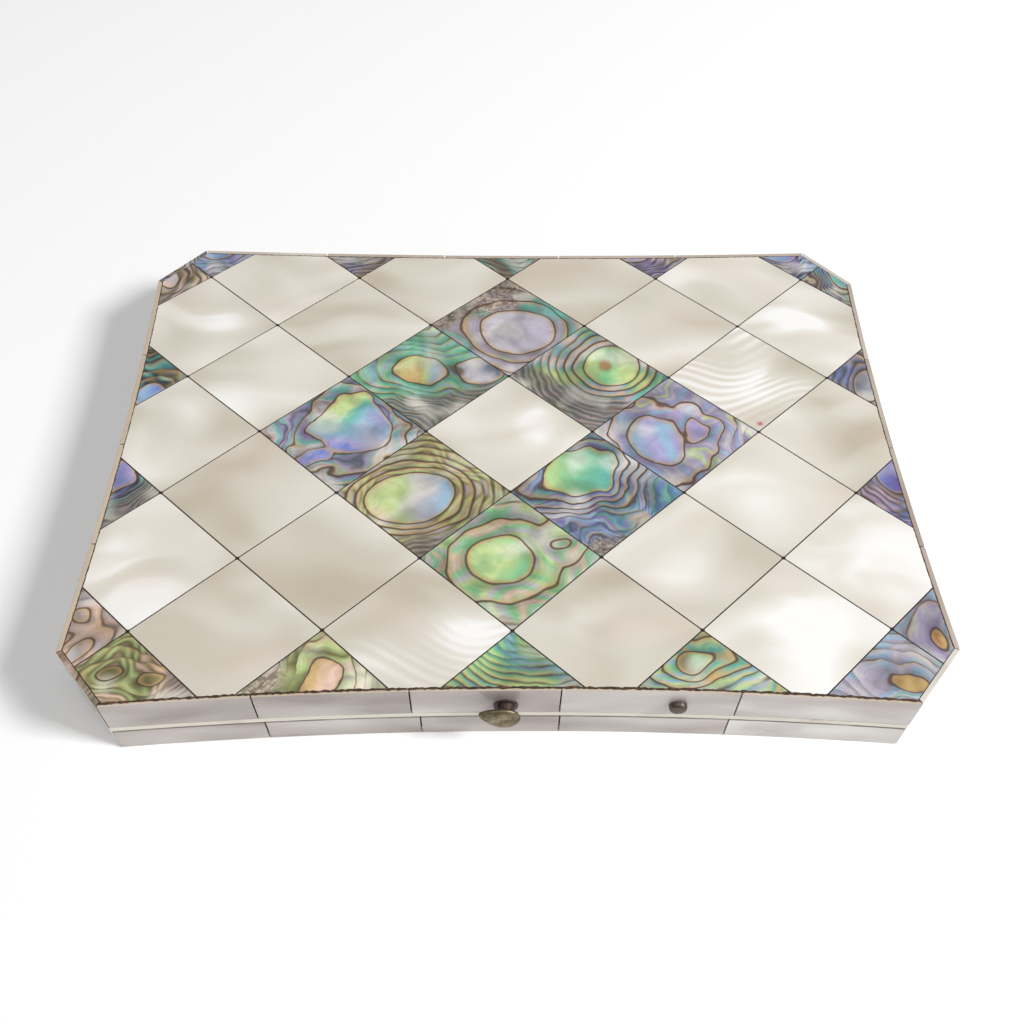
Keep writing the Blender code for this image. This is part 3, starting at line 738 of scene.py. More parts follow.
# Abalone pieces of the top, by lattice place: eyes and sides in millimetres from the piece's centre
ABALONES = {
    (0, 1): dict(eyes=[(1.3, -1.0, 5.6, 4.9, -12.0)], palette=[SILVER, GREY_LILAC, STRATA_LIGHT, TEAL],
        heart=[GREY_LILAC, SILVER, GREY_LILAC, SILVER], pitch=2.3, warp=1.6, rings=2, crust=(120.0, 4.0),
        patch=(8.0, 4.0, 4.5, TEAL)),
    (-0.5, 0.5): dict(eyes=[(7.6, 1.2, 3.0, 3.2, 0.0), (-1.2, 1.2, 4.6, 2.4, -6.0)],
        palette=[TEAL, GREEN, SKY, GREEN, TEAL], heart=[GOLD, LIME, SKY, SILVER, SLATE],
        sweep=(0.0, 2.0, 15.0), pitch=1.7, warp=1.8, strata=(-78.0, 3.4),
        patch=(4.6, 1.4, 1.4, CRUST_DARK)),
    (0.5, 0.5): dict(eyes=[(3.6, 2.2, 4.2, 4.0, 5.0)], palette=[LIME, GREEN, TEAL, SKY, PINK],
        heart=[LIME, GREEN, LIME], pitch=1.25, warp=0.8, rings=3, strata=(-122.0, 2.6),
        patch=(2.6, 2.4, 1.5, RUST)),
    (-1, 0): dict(eyes=[(1.4, 1.2, 5.4, 6.0, 20.0), (-3.4, -4.6, 2.4, 1.8, 20.0)],
        palette=[SLATE, LILAC, TEAL, SILVER, STRATA_LIGHT], heart=[BLUE, LILAC, SKY, TEAL, LIME],
        sweep=(115.0, 0.8, 15.0), pitch=2.2, warp=4.2, rings=2),
    (1, 0): dict(eyes=[(-2.4, -1.6, 3.4, 4.6, 28.0), (2.6, 0.6, 1.6, 2.6, 0.0)],
        palette=[SKY, LILAC, SILVER, LILAC, LIME], heart=[SKY, LILAC, SKY, LILAC], pitch=3.0, warp=3.2,
        rings=2, swirl=0.6),
    (-0.5, -0.5): dict(eyes=[(-1.8, -0.9, 6.0, 4.5, 9.0)],
        palette=[LIME, SILVER, OLIVE, LIME, STRATA_LIGHT], heart=[PINK, LIME, SILVER, SKY], pitch=1.15,
        warp=0.9, rings=3, strata=(-76.0, 7.4)),
    (0.5, -0.5): dict(eyes=[(-3.4, 3.8, 4.8, 3.2, 26.0)], palette=[BLUE, TEAL, VIOLET, SKY, BLUE],
        heart=[LIME, GREEN, TEAL], sweep=(25.0, -2.0, 9.0), pitch=1.9, warp=4.4, line=0.26, rings=4,
        crust=(-72.0, 7.6), patch=(4.7, -4.4, 2.6, CRUST_PALE)),
    (0, -1): dict(eyes=[(-1.2, -0.3, 4.3, 4.0, 0.0), (6.4, 2.4, 0.9, 0.9, 0.0)],
        palette=[GREEN, LIME, SILVER, GREEN, PINK], heart=[GREEN, LIME, GREEN, TEAL], pitch=2.9, warp=1.3,
        rings=2, swirl=0.6, strata=(-90.0, 8.8), patch=(8.0, -0.6, 2.0, CRUST_PALE)),
    (-1, -2): dict(eyes=[(0.4, 2.0, 1.8, 5.0, 0.0)], palette=[LIME, PINK, LIME, OLIVE],
        heart=[PINK, GOLD, PINK], pitch=2.6, warp=3.6, crust=(200.0, 2.4), swirl=0.7),
    (0, -2): dict(eyes=[(4.0, 13.5, 5.0, 3.5, 0.0)], palette=[GREEN, LIME, GREEN, TEAL, SKY],
        heart=[GREEN, LIME], pitch=1.1, warp=1.4, strata=(-10.0, 6.5)),
    (1, -2): dict(eyes=[(-1.5, 6.6, 2.3, 1.3, 0.0)], palette=[GREEN, SKY, LIME, TEAL, GOLD],
        heart=[OLIVE, OLIVE, GREEN], pitch=1.7, warp=2.0, rings=3),
    (-2.5, -1.5): dict(eyes=[(6.0, -2.9, 2.6, 1.0, 46.0), (6.1, 2.1, 1.2, 1.0, 20.0)],
        palette=[STRATA_LIGHT, PINK, SILVER, STRATA_LIGHT], heart=[SILVER, STRATA_LIGHT, PINK], pitch=1.6,
        warp=1.4, swirl=0.5),
    (-2, -2): dict(eyes=[(-0.8, 5.2, 1.6, 1.0, 0.0), (3.8, 4.1, 1.6, 0.9, 30.0)],
        palette=[OLIVE, LIME, OLIVE, PINK, OLIVE], heart=[OLIVE, OLIVE], pitch=1.6, warp=2.0, swirl=0.7,
        strata=(0.0, 5.5)),
    (2.5, -1.5): dict(eyes=[(-6.0, -1.1, 0.9, 1.4, 10.0)], palette=[SILVER, LILAC, SILVER, SKY, PINK],
        heart=[RUST, RUST, GOLD], pitch=2.6, warp=1.8, swirl=0.6),
    (2, -2): dict(eyes=[(0.8, 3.8, 3.0, 0.8, -6.0)], palette=[SILVER, GREY_LILAC, SKY, SILVER, TEAL],
        heart=[RUST, GOLD, RUST], pitch=2.4, warp=3.4, swirl=0.7),
    (-2, 2): dict(eyes=[(0.0, -5.0, 3.0, 1.6, 0.0)], palette=[BLUE, LILAC, SKY, VIOLET, TEAL],
        heart=[SKY, BLUE], pitch=1.6, warp=3.0),
    (-2.5, 1.5): dict(eyes=[(5.0, 0.0, 2.0, 3.0, 0.0)], palette=[PINK, SILVER, OLIVE, SLATE, PINK],
        heart=[PINK, SILVER], pitch=1.2, warp=2.6),
    (-1, 2): dict(eyes=[(-4.0, -4.0, 3.0, 1.6, 0.0)], palette=[TEAL, SLATE, SLATE, LILAC, OLIVE],
        heart=[TEAL, GREEN], pitch=1.3, warp=2.2, strata=(0.0, 1.0)),
    (0, 2): dict(eyes=[(1.0, -5.0, 1.8, 1.0, 0.0)], palette=[SLATE, TEAL, SLATE, OLIVE, SLATE],
        heart=[TEAL, SLATE], pitch=1.2, warp=1.8, strata=(0.0, 4.0)),
    (1, 2): dict(eyes=[(-3.0, -5.0, 3.0, 1.2, 0.0)], palette=[LILAC, SLATE, VIOLET, SILVER, SLATE],
        heart=[LILAC, SILVER], pitch=1.3, warp=2.4),
    (2, 2): dict(eyes=[(-3.0, -5.0, 3.0, 1.4, 0.0)], palette=[BLUE, VIOLET, NIGHT, SKY, BLUE],
        heart=[SKY, VIOLET], pitch=1.3, warp=3.0),
    (2.5, 1.5): dict(eyes=[(-5.0, 0.0, 2.0, 2.6, 0.0)], palette=[TEAL, BLUE, NIGHT, SILVER, TEAL],
        heart=[TEAL, SKY], pitch=0.9, warp=3.6, crust=(60.0, 0.0)),
    (-2.5, 0.5): dict(eyes=[(7.0, -4.0, 2.4, 2.0, 30.0)], palette=[BLUE, NIGHT, TEAL, NIGHT, OLIVE],
        heart=[VIOLET, SKY, BLUE], pitch=1.6, warp=3.2, crust=(60.0, 8.2)),
    (-2.5, -0.5): dict(eyes=[(5.4, 3.6, 1.6, 2.6, -20.0)], palette=[SLATE, BLUE, NIGHT, SLATE, TEAL],
        heart=[BLUE, LILAC], pitch=1.5, warp=3.0, strata=(-20.0, 7.2)),
    (2.5, 0.5): dict(eyes=[(-6.5, -2.0, 2.0, 3.4, 0.0)], palette=[SLATE, SILVER, SLATE, BLUE, SLATE],
        heart=[SLATE, SILVER], pitch=1.1, warp=2.2),
    (2.5, -0.5): dict(eyes=[(-6.0, 3.0, 2.4, 3.4, 20.0)], palette=[VIOLET, BLUE, LILAC, SLATE, BLUE],
        heart=[BLUE, VIOLET], pitch=1.0, warp=2.0),
}


def place_name(u, v):
    """A lattice place as part of a piece's name, such as m15_p05 for (-1.5, 0.5)."""
    def word(value):
        return ("m" if value < 0 else "p") + f"{abs(value) * 10:02.0f}"
    return f"{word(u)}_{word(v)}"


def lay_face(label, body, node, salt, looks):
    """One inlaid face: a piece of shell for each lattice place, in a bed of dark cement."""
    low, high = node_mm(node)
    bed_low = low[2] if label == "top" else low[2] + CEMENT_DROP
    bed_high = high[2] - CEMENT_DROP if label == "top" else high[2]
    bed = slab(f"{label}_cement", outline(FIELD_INSET), bed_low, bed_high, bevel=0.0)
    finish_piece(bed, cement(f"{label}_cement"), body, "pearl_shell", node)
    for index, (u, v) in enumerate(lattice_centres()):
        points = tile_outline(u, v, salt)
        if not points:
            continue
        name = f"{label}_tile_{place_name(u, v)}"
        tile = slab(name, points, low[2], high[2], lattice_place(u, v))
        finish_piece(tile, looks(name, index, u, v), body,
                     "abalone_shell" if (u, v) in ABALONES else "pearl_shell")


def top_look(name, index, u, v):
    if (u, v) in ABALONES:
        return abalone(name, index, **ABALONES[(u, v)])
    return pearl(name, index, **PEARLS[(u, v)])


UNDERSIDE_PALETTES = (
    (TEAL, GREEN, SKY, LILAC), (BLUE, LILAC, TEAL, SLATE), (LIME, GREEN, OLIVE, SKY),
    (SILVER, LILAC, SKY, GREEN), (GREEN, GOLD, TEAL, BLUE))
UNDERSIDE_HANDS = 400
UNDERSIDE_SEEDS = 200


def underside_look(name, index, u, v):
    """The layout of the top again, in other pieces of shell."""
    hand = random.Random(index + UNDERSIDE_HANDS)
    seed = index + UNDERSIDE_SEEDS
    if (u, v) not in ABALONES:
        return pearl(name, seed, tone=hand.uniform(0.32, 0.6), grain=hand.uniform(-70.0, 70.0))
    eye = (hand.uniform(-5.0, 5.0), hand.uniform(-4.0, 4.0), hand.uniform(2.5, 5.5), hand.uniform(2.0, 4.5),
           hand.uniform(-40.0, 40.0))
    palette = hand.choice(UNDERSIDE_PALETTES)
    return abalone(name, seed, [eye], palette, heart=palette[1:3], pitch=hand.uniform(1.4, 2.6),
                   warp=hand.uniform(1.5, 3.5), swirl=hand.uniform(0.5, 1.0))


def finish_piece(piece, look, body, slot, *nodes):
    """Gives a piece its material, hangs it on its body and hides the CAD nodes that it replaces."""
    piece.data.materials.append(look)
    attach(piece, body)
    if nodes:
        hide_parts(*nodes)


def cement(name):
    """Dark brown-grey cement, rubbed level with the shell."""
    s = Shader(name)
    here = s.point()
    colour = s.ramp(s.noise(here, 2.2, 5.0, 0.65), [rgb(22, 16, 12), rgb(44, 34, 28), rgb(84, 70, 58)])
    s.bump(s.noise(here, 3.5, 4.0), 0.4, 0.08)
    return s.finish(colour, 0.75)


# ---------------------------------------------------------------- edge strips

# Places of the joints between strip sections, in millimetres along each edge
FRONT_JOINTS = {"lid": (-30.8, -12.2, 5.9, 27.3), "base": (-30.2, -11.2, 6.0, 26.9)}
OTHER_JOINTS = {"back": (-27.5, -8.5, 10.0, 29.0), "left": (-17.0, 0.5, 17.5), "right": (-18.0, -1.0, 16.5)}
JOINT_SHIFT = {"lid": 0.0, "base": 0.9}
MITRE_GAP = 0.04


def strip_section(name, side, start, end, low, high):
    """One short strip of shell along an edge. At a clipped corner its end is mitred."""
    thickness = FRONT_STRIP if side == "front" else STRIP
    rims = []
    for inset in (0.0, thickness):
        limit = edge_shape(side, inset)[0] - MITRE_GAP
        rims.append(edge_curve(side, inset, max(start, -limit), min(end, limit)))
    points = rims[0] + rims[1][::-1]
    return slab(name, points, low, high, middle_of(points), bevel=STRIP_BEVEL)


def corner_strip(name, sign_x, sign_y, low, high):
    """The short strip across one clipped corner."""
    half_width, half_depth, half_front, half_side = plan_corners(0.0)
    in_width, in_depth, in_front, in_side = plan_corners(STRIP)
    points = [
        (half_front + MITRE_GAP, half_depth - MITRE_GAP), (half_width - MITRE_GAP, half_side + MITRE_GAP),
        (in_width, in_side + MITRE_GAP), (in_front + MITRE_GAP, in_depth)]
    points = [(sign_x * x, sign_y * y) for x, y in points]
    if sign_x * sign_y > 0:
        points.reverse()
    return slab(name, points, low, high, middle_of(points), bevel=STRIP_BEVEL)


# How light the sections of each side are, counter-clockwise: left to right along the front
SECTION_TONES = (0.26, 0.30, 0.32, 0.36, 0.66)
CORNER_TONE = 0.72
TOP_BAND_DARKNESS = {"lid": 0.0, "base": 0.85}
STRIP_SEEDS = {"lid": 40, "base": 0}
SIDE_SEEDS = 7
ABALONE_CORNER_SEEDS = 90
PEARL_CORNER_SEEDS = 95
CORNER_EYE = (-2.0, 2.0, 2.0, 3.0, 0.0)
FRONT_CORNER_PALETTE = (STRATA_DARK, OLIVE, STRATA_MIDDLE, RUST)
BACK_CORNER_PALETTE = (SLATE, TEAL, BLUE, OLIVE)


def joint_places(half, side):
    """The base's joints are shifted to and fro, so that they don't line up with the lid's."""
    if side == "front":
        return FRONT_JOINTS[half]
    return [middle + JOINT_SHIFT[half] * (-1) ** n for n, middle in enumerate(OTHER_JOINTS[side])]


def lay_strips(half):
    """All edge strips of one half, in sections, with the holes that its metalwork needs."""
    low, high = node_mm(f"{half}_strip_front")
    for side_index, side in enumerate(SIDES):
        length = edge_shape(side, 0.0)[0]
        stops = [-length, *joint_places(half, side), length]
        for index, (start, end) in enumerate(zip(stops, stops[1:])):
            name = f"{half}_{side}_section_{index + 1}"
            section = strip_section(name, side, start + JOINT / 2, end - JOINT / 2, low[2], high[2])
            open_for_metalwork(section, half, side)
            seed = STRIP_SEEDS[half] + side_index * SIDE_SEEDS + index
            look = edge_pearl(name, seed, SECTION_TONES[index], side, TOP_BAND_DARKNESS[half])
            finish_piece(section, look, half, "pearl_shell", f"{half}_strip_{side}")
    for index, (corner, (sign_x, sign_y)) in enumerate(CORNERS.items()):
        name = f"{half}_corner_{corner}_shell"
        strip = corner_strip(name, sign_x, sign_y, low[2], high[2])
        if sign_x < 0 and half == "lid":
            slot = "abalone_shell"
            palette = FRONT_CORNER_PALETTE if sign_y < 0 else BACK_CORNER_PALETTE
            look = abalone(name, ABALONE_CORNER_SEEDS + index, [CORNER_EYE], palette, pitch=1.0, warp=2.0)
        else:
            slot = "pearl_shell"
            look = edge_pearl(name, PEARL_CORNER_SEEDS + index, CORNER_TONE, "corner")
        finish_piece(strip, look, half, slot, f"{half}_corner_{corner}")


HINGE_CLEARANCE = 0.1
LEAF_CLEARANCE = 0.03
BED_DEPTH = 2.0
BED_OVERRUN = 3.0
BUTTON_HOLE = 1.25
PIN_HOLE = 0.65
HOLE_LENGTH = 6.0


def open_for_metalwork(section, half, side):
    """Cuts hinge beds into the back sections and the button's and pin's holes into the lid's front."""
    if side == "back":
        for hand in ("left", "right"):
            low, high = node_mm(f"hinge_{hand}_{half}_leaf")
            low = [low[0] - HINGE_CLEARANCE, low[1] - LEAF_CLEARANCE, low[2] - HINGE_CLEARANCE]
            high = [high[0] + HINGE_CLEARANCE, high[1] + BED_DEPTH, high[2] + HINGE_CLEARANCE]
            if half == "lid":
                low[2] -= BED_OVERRUN
            else:
                high[2] += BED_OVERRUN
            cut_away(section, cutter_box(low, high))
    if side == "front" and half == "lid":
        for node, radius in (("button_collar", BUTTON_HOLE), ("latch_anchor_pin", PIN_HOLE)):
            node_low, node_high = node_mm(node)
            x = (node_low[0] + node_high[0]) / 2.0
            z = (node_low[2] + node_high[2]) / 2.0
            cut_away(section, cutter_rod(x, node_low[1], z, radius, HOLE_LENGTH))


# How tan the rubbed upper edges are, side by side
RUBBED_TAN = {"front": 0.7, "right": 0.3, "back": 0.4, "left": 0.8, "corner": 0.3}
EDGE_GREYS = (rgb(150, 138, 132), rgb(180, 171, 165), rgb(208, 203, 198), rgb(234, 232, 229))
EDGE_ROSE = rgb(188, 168, 170)
EDGE_TAN = rgb(206, 188, 160)
EDGE_TOP_BAND_BROWN = rgb(74, 58, 48)
TOP_BAND_DEPTHS = (-0.34, -0.1)


def edge_pearl(name, seed, tone, side, top_band_amount=0.0):
    """Pearl cut along its layers, as the edge strips are: greyer, with a long silky grain.

    Its upper edge is rubbed tan. The last argument says how far the strip is darkened to brown just under
    that edge.
    """
    s = Shader(name)
    point = s.point()
    here = s.vector("ADD", point, (seed * 9.1, seed * 4.7, seed * 2.9))
    along = (0.25, 1.0, 1.0) if side in ("front", "back", "corner") else (1.0, 0.25, 1.0)
    silk = s.turned(here, 0.0, along)
    cloud = s.noise(silk, 0.22, 1.0, 0.4, 0.3)
    fibre = s.noise(s.turned(silk, 0.0, (1.0, 1.0, 3.0)), 1.2, 3.0)
    light = s.times_plus(s.about_zero(cloud), 1.4, tone)
    light = s.times_plus(s.about_zero(fibre), 0.03, light)
    colour = s.ramp(light, EDGE_GREYS)
    rosy = s.remap(s.noise(silk, 0.4, 1.0), 0.5, 0.7, 0.0, 0.35)
    colour = s.mix(rosy, colour, EDGE_ROSE)
    upwards = s.part(s.add("ShaderNodeTexCoord").outputs["Normal"], 2)
    colour = s.mix(s.remap(upwards, 0.6, 0.9, 0.0, RUBBED_TAN[side]), colour, EDGE_TAN)
    # Darker brown in a band just under the piece's upper edge, used on the base's strips only.
    if top_band_amount:
        top_band = s.times(s.remap(s.part(point, 2), *TOP_BAND_DEPTHS), s.remap(fibre, 0.3, 0.6, 0.5, 1.0))
        colour = s.mix(s.times(top_band, top_band_amount), colour, EDGE_TOP_BAND_BROWN)
    s.bump(cloud, 0.15, 0.2)
    return s.finish(colour, s.remap(cloud, 0.3, 0.7, 0.26, 0.34), coat=0.3, coat_roughness=0.1)


# Beads of cement: where each starts and ends, in from the outline, and how uneven it is
BEAD_STEP = 0.35
BEAD_DEPTH = 0.2
BEAD_PROUD = 0.02
BEADS = {
    "front": (FRONT_STRIP - 0.08, FRONT_STRIP + 0.22, 0.09),
    **dict.fromkeys(("right", "back", "left"), (STRIP - 0.02, STRIP + 0.1, 0.04)),
}
BEAD_SEED = 5
BEAD_BROWNS = (rgb(34, 24, 18), rgb(66, 46, 34), rgb(120, 80, 52))


def bead_cement(name):
    """Crumbly brown cement."""
    s = Shader(name)
    speck = s.noise(s.point(), 1.7, 4.0, 0.7)
    colour = s.ramp(s.remap(speck, 0.3, 0.7, smooth=False), BEAD_BROWNS)
    s.bump(speck, 0.5, 0.1)
    return s.finish(colour, s.remap(speck, 0.3, 0.7, 0.5, 0.8))


def lay_bead(side, outer, inner, unevenness):
    """The uneven line of brown cement that shows between an edge's strips and the inlaid face."""
    high = node_mm("lid_top_shell")[1][2]
    length = edge_shape(side, outer)[0]
    hand = random.Random(SIDES.index(side) + BEAD_SEED)
    steps = round(2.0 * length / BEAD_STEP)
    rims = {outer: [], inner: []}
    for inset, points in rims.items():
        shape = edge_shape(side, inset)
        for step in range(steps + 1):
            along = shape[0] * (2.0 * step / steps - 1.0)
            out = bowed(shape, along) + hand.uniform(-unevenness, unevenness)
            points.append(place(side, along, out))
    points = rims[outer] + rims[inner][::-1]
    bead = slab(f"lid_{side}_bead", points, high - BEAD_DEPTH, high + BEAD_PROUD, bevel=0.0)
    finish_piece(bead, bead_cement(bead.name), "lid", "pearl_shell")


# ---------------------------------------------------------------- metal, wood and playing fields

def brass(name, tarnish=0.5):
    """Old brass: dull olive, browner in patches, with rubbed bright patches."""
    s = Shader(name)
    here = s.point()
    patina = s.noise(here, 0.9, 4.0, 0.6)
    speck = s.noise(here, 4.0, 3.0, 0.6)
    mixed = s.times_plus(s.about_zero(speck), 0.5, s.math("ADD", patina, tarnish - 0.5))
    colour = s.ramp(mixed, [rgb(190, 178, 142), rgb(150, 140, 112), rgb(108, 99, 78), rgb(62, 54, 44)])
    s.bump(s.times_plus(speck, 0.5, patina), 0.25, 0.06)
    return s.finish(colour, s.remap(mixed, 0.2, 0.8, 0.3, 0.62), metallic=1.0)


def dark_steel(name):
    """Blued, slightly rusted steel."""
    s = Shader(name)
    spots = s.noise(s.point(), 1.6, 4.0, 0.65)
    colour = s.ramp(spots, [rgb(58, 48, 48), rgb(98, 86, 80), rgb(128, 100, 78)])
    s.bump(spots, 0.3, 0.06)
    return s.finish(colour, s.remap(spots, 0.3, 0.7, 0.35, 0.65), metallic=0.9)


def wood(name):
    """Stained mahogany with long fine grain."""
    s = Shader(name)
    here = s.point()
    grain = s.noise(s.turned(here, 0.0, (0.05, 1.0, 1.0)), 1.1, 4.0, 0.6, 0.5)
    pores = s.noise(s.turned(here, 0.0, (0.12, 2.4, 2.4)), 2.6, 2.0)
    colour = s.ramp(grain, [rgb(58, 30, 20), rgb(98, 54, 34), rgb(128, 76, 48)])
    colour = s.mix(s.times(s.remap(pores, 0.55, 0.68), 0.6), colour, rgb(36, 20, 14))
    s.bump(s.minus(grain, s.remap(pores, 0.55, 0.68)), 0.25, 0.1)
    return s.finish(colour, s.remap(grain, 0.3, 0.7, 0.38, 0.5), coat=0.15, coat_roughness=0.25)


def ebonised(name):
    """Wood stained black, with its grain just showing."""
    s = Shader(name)
    grain = s.noise(s.turned(s.point(), 0.0, (0.06, 1.0, 1.0)), 1.4, 4.0, 0.6, 0.4)
    colour = s.ramp(grain, [rgb(22, 19, 18), rgb(40, 35, 32), rgb(54, 47, 42)])
    s.bump(grain, 0.25, 0.08)
    return s.finish(colour, s.remap(grain, 0.3, 0.7, 0.3, 0.42), coat=0.25, coat_roughness=0.15)


def cream_edging(name):
    """Aged cream edging with fine lengthwise streaks and a few stains."""
    s = Shader(name)
    here = s.point()
    streak = s.noise(s.turned(here, 0.0, (0.08, 0.08, 2.5)), 1.5, 3.0, 0.6)
    stain = s.noise(here, 0.12, 3.0, 0.6)
    colour = s.ramp(streak, [rgb(206, 196, 180), rgb(226, 219, 206), rgb(240, 235, 226)])
    colour = s.mix(s.times(s.remap(stain, 0.55, 0.75), 0.5), colour, rgb(150, 122, 88))
    s.bump(streak, 0.2, 0.05)
    return s.finish(colour, s.remap(streak, 0.3, 0.7, 0.35, 0.5))


DARK_METAL = ("latch_spring_arm", "latch_tooth", "button_collar", "button_stem")


def dress_frame():
    """Gives each CAD node that stays in view its own material."""
    for name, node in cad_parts.items():
        if name.endswith("carcass"):
            look = wood(name)
        elif name.endswith("playing_field"):
            look = ebonised(name)
        elif name == "lid_edge_band":
            look = cream_edging(name)
        elif name in DARK_METAL or name.endswith("_pin"):
            look = dark_steel(name)
        else:
            look = brass(name)
        for material_slot in node.material_slots:
            material_slot.material = look


POINTS_A_SIDE = 6
POINT_LENGTH = 41.0
POINT_WIDTH = 10.8
FIELD_X = 49.4
FIELD_Y = 34.2
INLAY_PROUD = 0.03
INLAY_DEPTH = 0.15
STRINGING = 0.45
STRINGING_GAP = 0.3
POINT_EYE = (-6.0, 1.0, 9.0, 2.5, 0.0)
POINT_SEEDS = {"base": (110, 112), "lid": (111, 113)}


def inlay_slab(name, points, face, upwards, body, look, slot):
    below, above = (INLAY_DEPTH, INLAY_PROUD) if upwards else (INLAY_PROUD, INLAY_DEPTH)
    low, high = face - below, face + above
    piece = slab(name, points, low, high, middle_of(points), bevel=INLAY_BEVEL)
    finish_piece(piece, look, body, slot)


def inlay_field(half, upwards):
    """Twelve inlaid points of one half, six from each short side, and a fine border line."""
    low, high = node_mm(f"{half}_playing_field")
    face = high[2] if upwards else low[2]
    pale_seed, dark_seed = POINT_SEEDS[half]
    pale = pearl(f"{half}_point_pearl", pale_seed, tone=0.55, grain=0.0)
    dark = abalone(f"{half}_point_abalone", dark_seed, [POINT_EYE], [TEAL, BLUE, GREEN, LILAC],
                   pitch=1.6, warp=2.0)
    pitch = 2.0 * FIELD_Y / POINTS_A_SIDE
    for hand, sign in (("left", -1.0), ("right", 1.0)):
        for index in range(POINTS_A_SIDE):
            y = -FIELD_Y + pitch * (index + 0.5)
            points = [
                (sign * FIELD_X, y - POINT_WIDTH / 2.0), (sign * FIELD_X, y + POINT_WIDTH / 2.0),
                (sign * (FIELD_X - POINT_LENGTH), y)]
            if sign < 0:
                points.reverse()
            light = (index + (sign > 0) + upwards) % 2 == 0
            inlay_slab(f"{half}_point_{hand}_{index + 1}", points, face, upwards, half,
                       pale if light else dark, "pearl_shell" if light else "abalone_shell")
    edge_x, edge_y = FIELD_X + STRINGING_GAP, FIELD_Y + STRINGING_GAP
    for name, x0, x1, y0, y1 in (
            ("front", -edge_x, edge_x, -edge_y - STRINGING, -edge_y),
            ("back", -edge_x, edge_x, edge_y, edge_y + STRINGING),
            ("left", -edge_x - STRINGING, -edge_x, -edge_y, edge_y),
            ("right", edge_x, edge_x + STRINGING, -edge_y, edge_y)):
        inlay_slab(f"{half}_stringing_{name}", [(x0, y0), (x1, y0), (x1, y1), (x0, y1)],
                   face, upwards, half, pale, "pearl_shell")


# Push button: lengths are in its own radii, apart from the swell
BUTTON_SWELL = 0.24
BUTTON_HEIGHT = 1.1
BUTTON_SEGMENTS = (64, 40)
BUTTON_TARNISH = 0.55
FULLNESS = 1.3
FLAT_FACE = 0.9
POINT_TAPER = 0.36
POINT_RISE = 0.45
GROOVE_CENTRE = 0.1
GROOVE_RADIUS = 0.55
GROOVE_WIDTH = 0.08
GROOVE_DEPTH = 0.10

# Anchor pin: radii in its own radii and lengths in millimetres, from the worn end to the shank
PIN_PROFILE = ((0.0, 0.0), (0.62, 0.0), (0.8, 0.05), (0.92, 0.16), (1.0, 0.4), (1.0, 0.72), (0.5, 0.74))
PIN_SHANK = 0.5
PIN_STEPS = 36
SHARP_ANGLE = 45.0
WELD_DISTANCE = 1e-7


def shaped_button():
    """The push button's head: a flat pear, thicker in the middle, with its point to the left."""
    low, high = node_mm("button_head")
    radius = (high[2] - low[2]) / 2.0
    centre = [high[0] - radius, (low[1] + high[1]) / 2.0, (low[2] + high[2]) / 2.0]
    tail = (centre[0] - low[0]) / radius
    depth = (high[1] - low[1]) / 2.0 + BUTTON_SWELL
    centre[1] -= BUTTON_SWELL
    shape = bmesh.new()
    around, up = BUTTON_SEGMENTS
    bmesh.ops.create_uvsphere(shape, u_segments=around, v_segments=up, radius=1.0)
    for vertex in shape.verts:
        x, y, z = vertex.co
        off_groove = (math.hypot(x - GROOVE_CENTRE, z) - GROOVE_RADIUS) / GROOVE_WIDTH
        groove = GROOVE_DEPTH * math.exp(-off_groove ** 2) if y < 0.0 else 0.0
        if x < 0.0:
            z = z * (1.0 - POINT_TAPER * x * x) + POINT_RISE * x * x
            x *= tail
        y = max(-FLAT_FACE, min(FLAT_FACE, y * FULLNESS)) - groove
        vertex.co = (x * radius, y * depth, z * radius * BUTTON_HEIGHT)
    bmesh.ops.scale(shape, vec=(MM, MM, MM), verts=shape.verts)
    mesh = as_mesh(shape, "button_head_shaped")
    mesh.shade_smooth()
    piece = link("button_head_shaped", mesh, [value * MM for value in centre])
    look = brass("button_head_shaped", BUTTON_TARNISH)
    finish_piece(piece, look, "push_button", "aged_brass", "button_head")


def rounded_pin():
    """The anchor pin's head: a worn round stub with a flat end, on its shank."""
    low, high = node_mm("latch_anchor_pin")
    radius = (high[2] - low[2]) / 2.0
    x, z = (low[0] + high[0]) / 2.0, (low[2] + high[2]) / 2.0
    length = high[1] - low[1]
    profile = [*PIN_PROFILE, (PIN_SHANK, length), (0.0, length)]
    shape = bmesh.new()
    rings = [shape.verts.new((r * radius * MM, y * MM, 0.0)) for r, y in profile]
    for a, b in zip(rings, rings[1:]):
        shape.edges.new((a, b))
    bmesh.ops.spin(shape, geom=shape.verts[:] + shape.edges[:], axis=(0, 1, 0), cent=(0, 0, 0),
                   angle=2.0 * math.pi, steps=PIN_STEPS, use_merge=True)
    bmesh.ops.remove_doubles(shape, verts=shape.verts, dist=WELD_DISTANCE)
    bmesh.ops.recalc_face_normals(shape, faces=shape.faces)
    mesh = as_mesh(shape, "latch_anchor_pin_worn")
    mesh.shade_smooth()
    mesh.set_sharp_from_angle(angle=math.radians(SHARP_ANGLE))
    piece = link("latch_anchor_pin_worn", mesh, (x * MM, low[1] * MM, z * MM))
    look = dark_steel("latch_anchor_pin_worn")
    finish_piece(piece, look, "lid", "dark_steel", "latch_anchor_pin")


lay_face("top", "lid", "lid_top_shell", TOP_SALT, top_look)
lay_face("underside", "base", "base_underside_shell", UNDERSIDE_SALT, underside_look)
lay_strips("lid")
lay_strips("base")
for bead_side, bead_shape in BEADS.items():
    lay_bead(bead_side, *bead_shape)
dress_frame()
inlay_field("base", True)
inlay_field("lid", False)
shaped_button()
rounded_pin()


# ---------------------------------------------------------------- camera, light and floor

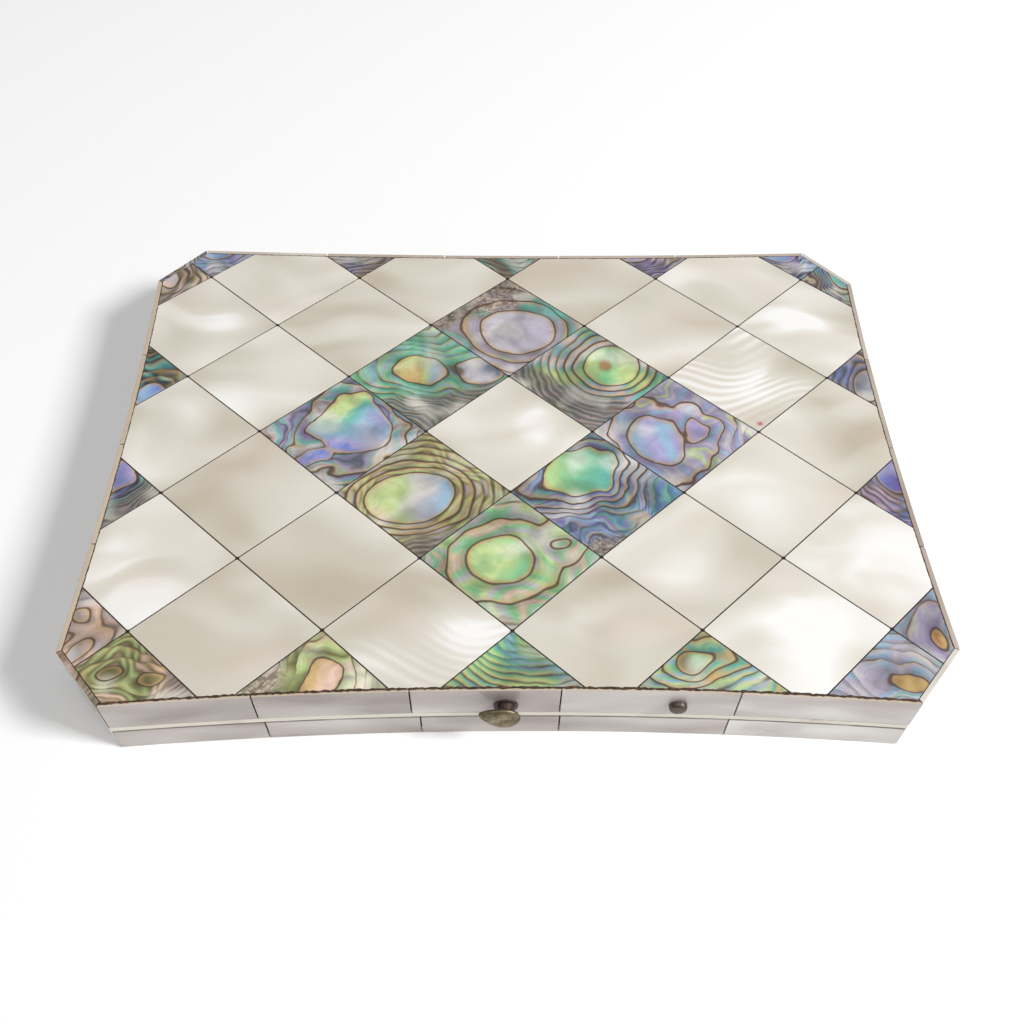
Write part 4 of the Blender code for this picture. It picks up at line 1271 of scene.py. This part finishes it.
CAMERA_PLACE = (-2.45, -99.14, 125.67)
CAMERA_TILT = 52.89
CAMERA_HEADING = 1.815
CAMERA_ROLL = 1.444
CAMERA_LENS = 37.96
CAMERA_SENSOR = 36.0
CAMERA_CLIP = (0.005, 5.0)

# Lights, in metres and watts: place, size and power
LIGHTS = {
    "key": ((0.92, -0.28, 0.78), 0.3, 13.0),
    "top": ((-0.1, -0.3, 1.2), 1.1, 5.5),
}
WORLD_STRENGTH = 0.23
FLOOR_HALF = 1.5
FLOOR_DROP = 0.02
FLOOR_WHITE = rgb(254, 254, 254)


def add_camera():
    data = bpy.data.cameras.new("camera")
    data.lens = CAMERA_LENS
    data.sensor_width = CAMERA_SENSOR
    data.clip_start, data.clip_end = CAMERA_CLIP
    camera = link("camera", data)
    heading = Matrix.Rotation(math.radians(-CAMERA_HEADING), 4, "Z")
    tilt = Matrix.Rotation(math.radians(90.0 - CAMERA_TILT), 4, "X")
    roll = Matrix.Rotation(math.radians(CAMERA_ROLL), 4, "Z")
    camera.matrix_world = Matrix.Translation([v * MM for v in CAMERA_PLACE]) @ heading @ tilt @ roll
    bpy.context.scene.camera = camera


def add_light(name, place_at, size, power):
    """A square lamp that faces the case."""
    data = bpy.data.lights.new(name, "AREA")
    data.shape = "RECTANGLE"
    data.size = size
    data.size_y = size
    data.energy = power
    light = link(name, data, place_at)
    light.rotation_euler = (-Vector(place_at)).to_track_quat("-Z", "Y").to_euler()


def add_surroundings():
    shape = bmesh.new()
    bmesh.ops.create_grid(shape, x_segments=1, y_segments=1, size=FLOOR_HALF)
    floor = link("floor", as_mesh(shape, "floor"), (0.0, 0.0, -FLOOR_DROP * MM))
    floor.data.materials.append(Shader("floor").finish(FLOOR_WHITE, 0.9))
    world = bpy.data.worlds.new("studio")
    world.use_nodes = True
    background = world.node_tree.nodes["Background"]
    background.inputs["Color"].default_value = (1.0, 1.0, 1.0, 1.0)
    background.inputs["Strength"].default_value = WORLD_STRENGTH
    bpy.context.scene.world = world
    for name, setting in LIGHTS.items():
        add_light(name, *setting)
    bpy.context.scene.view_settings.view_transform = "Standard"


add_camera()
add_surroundings()
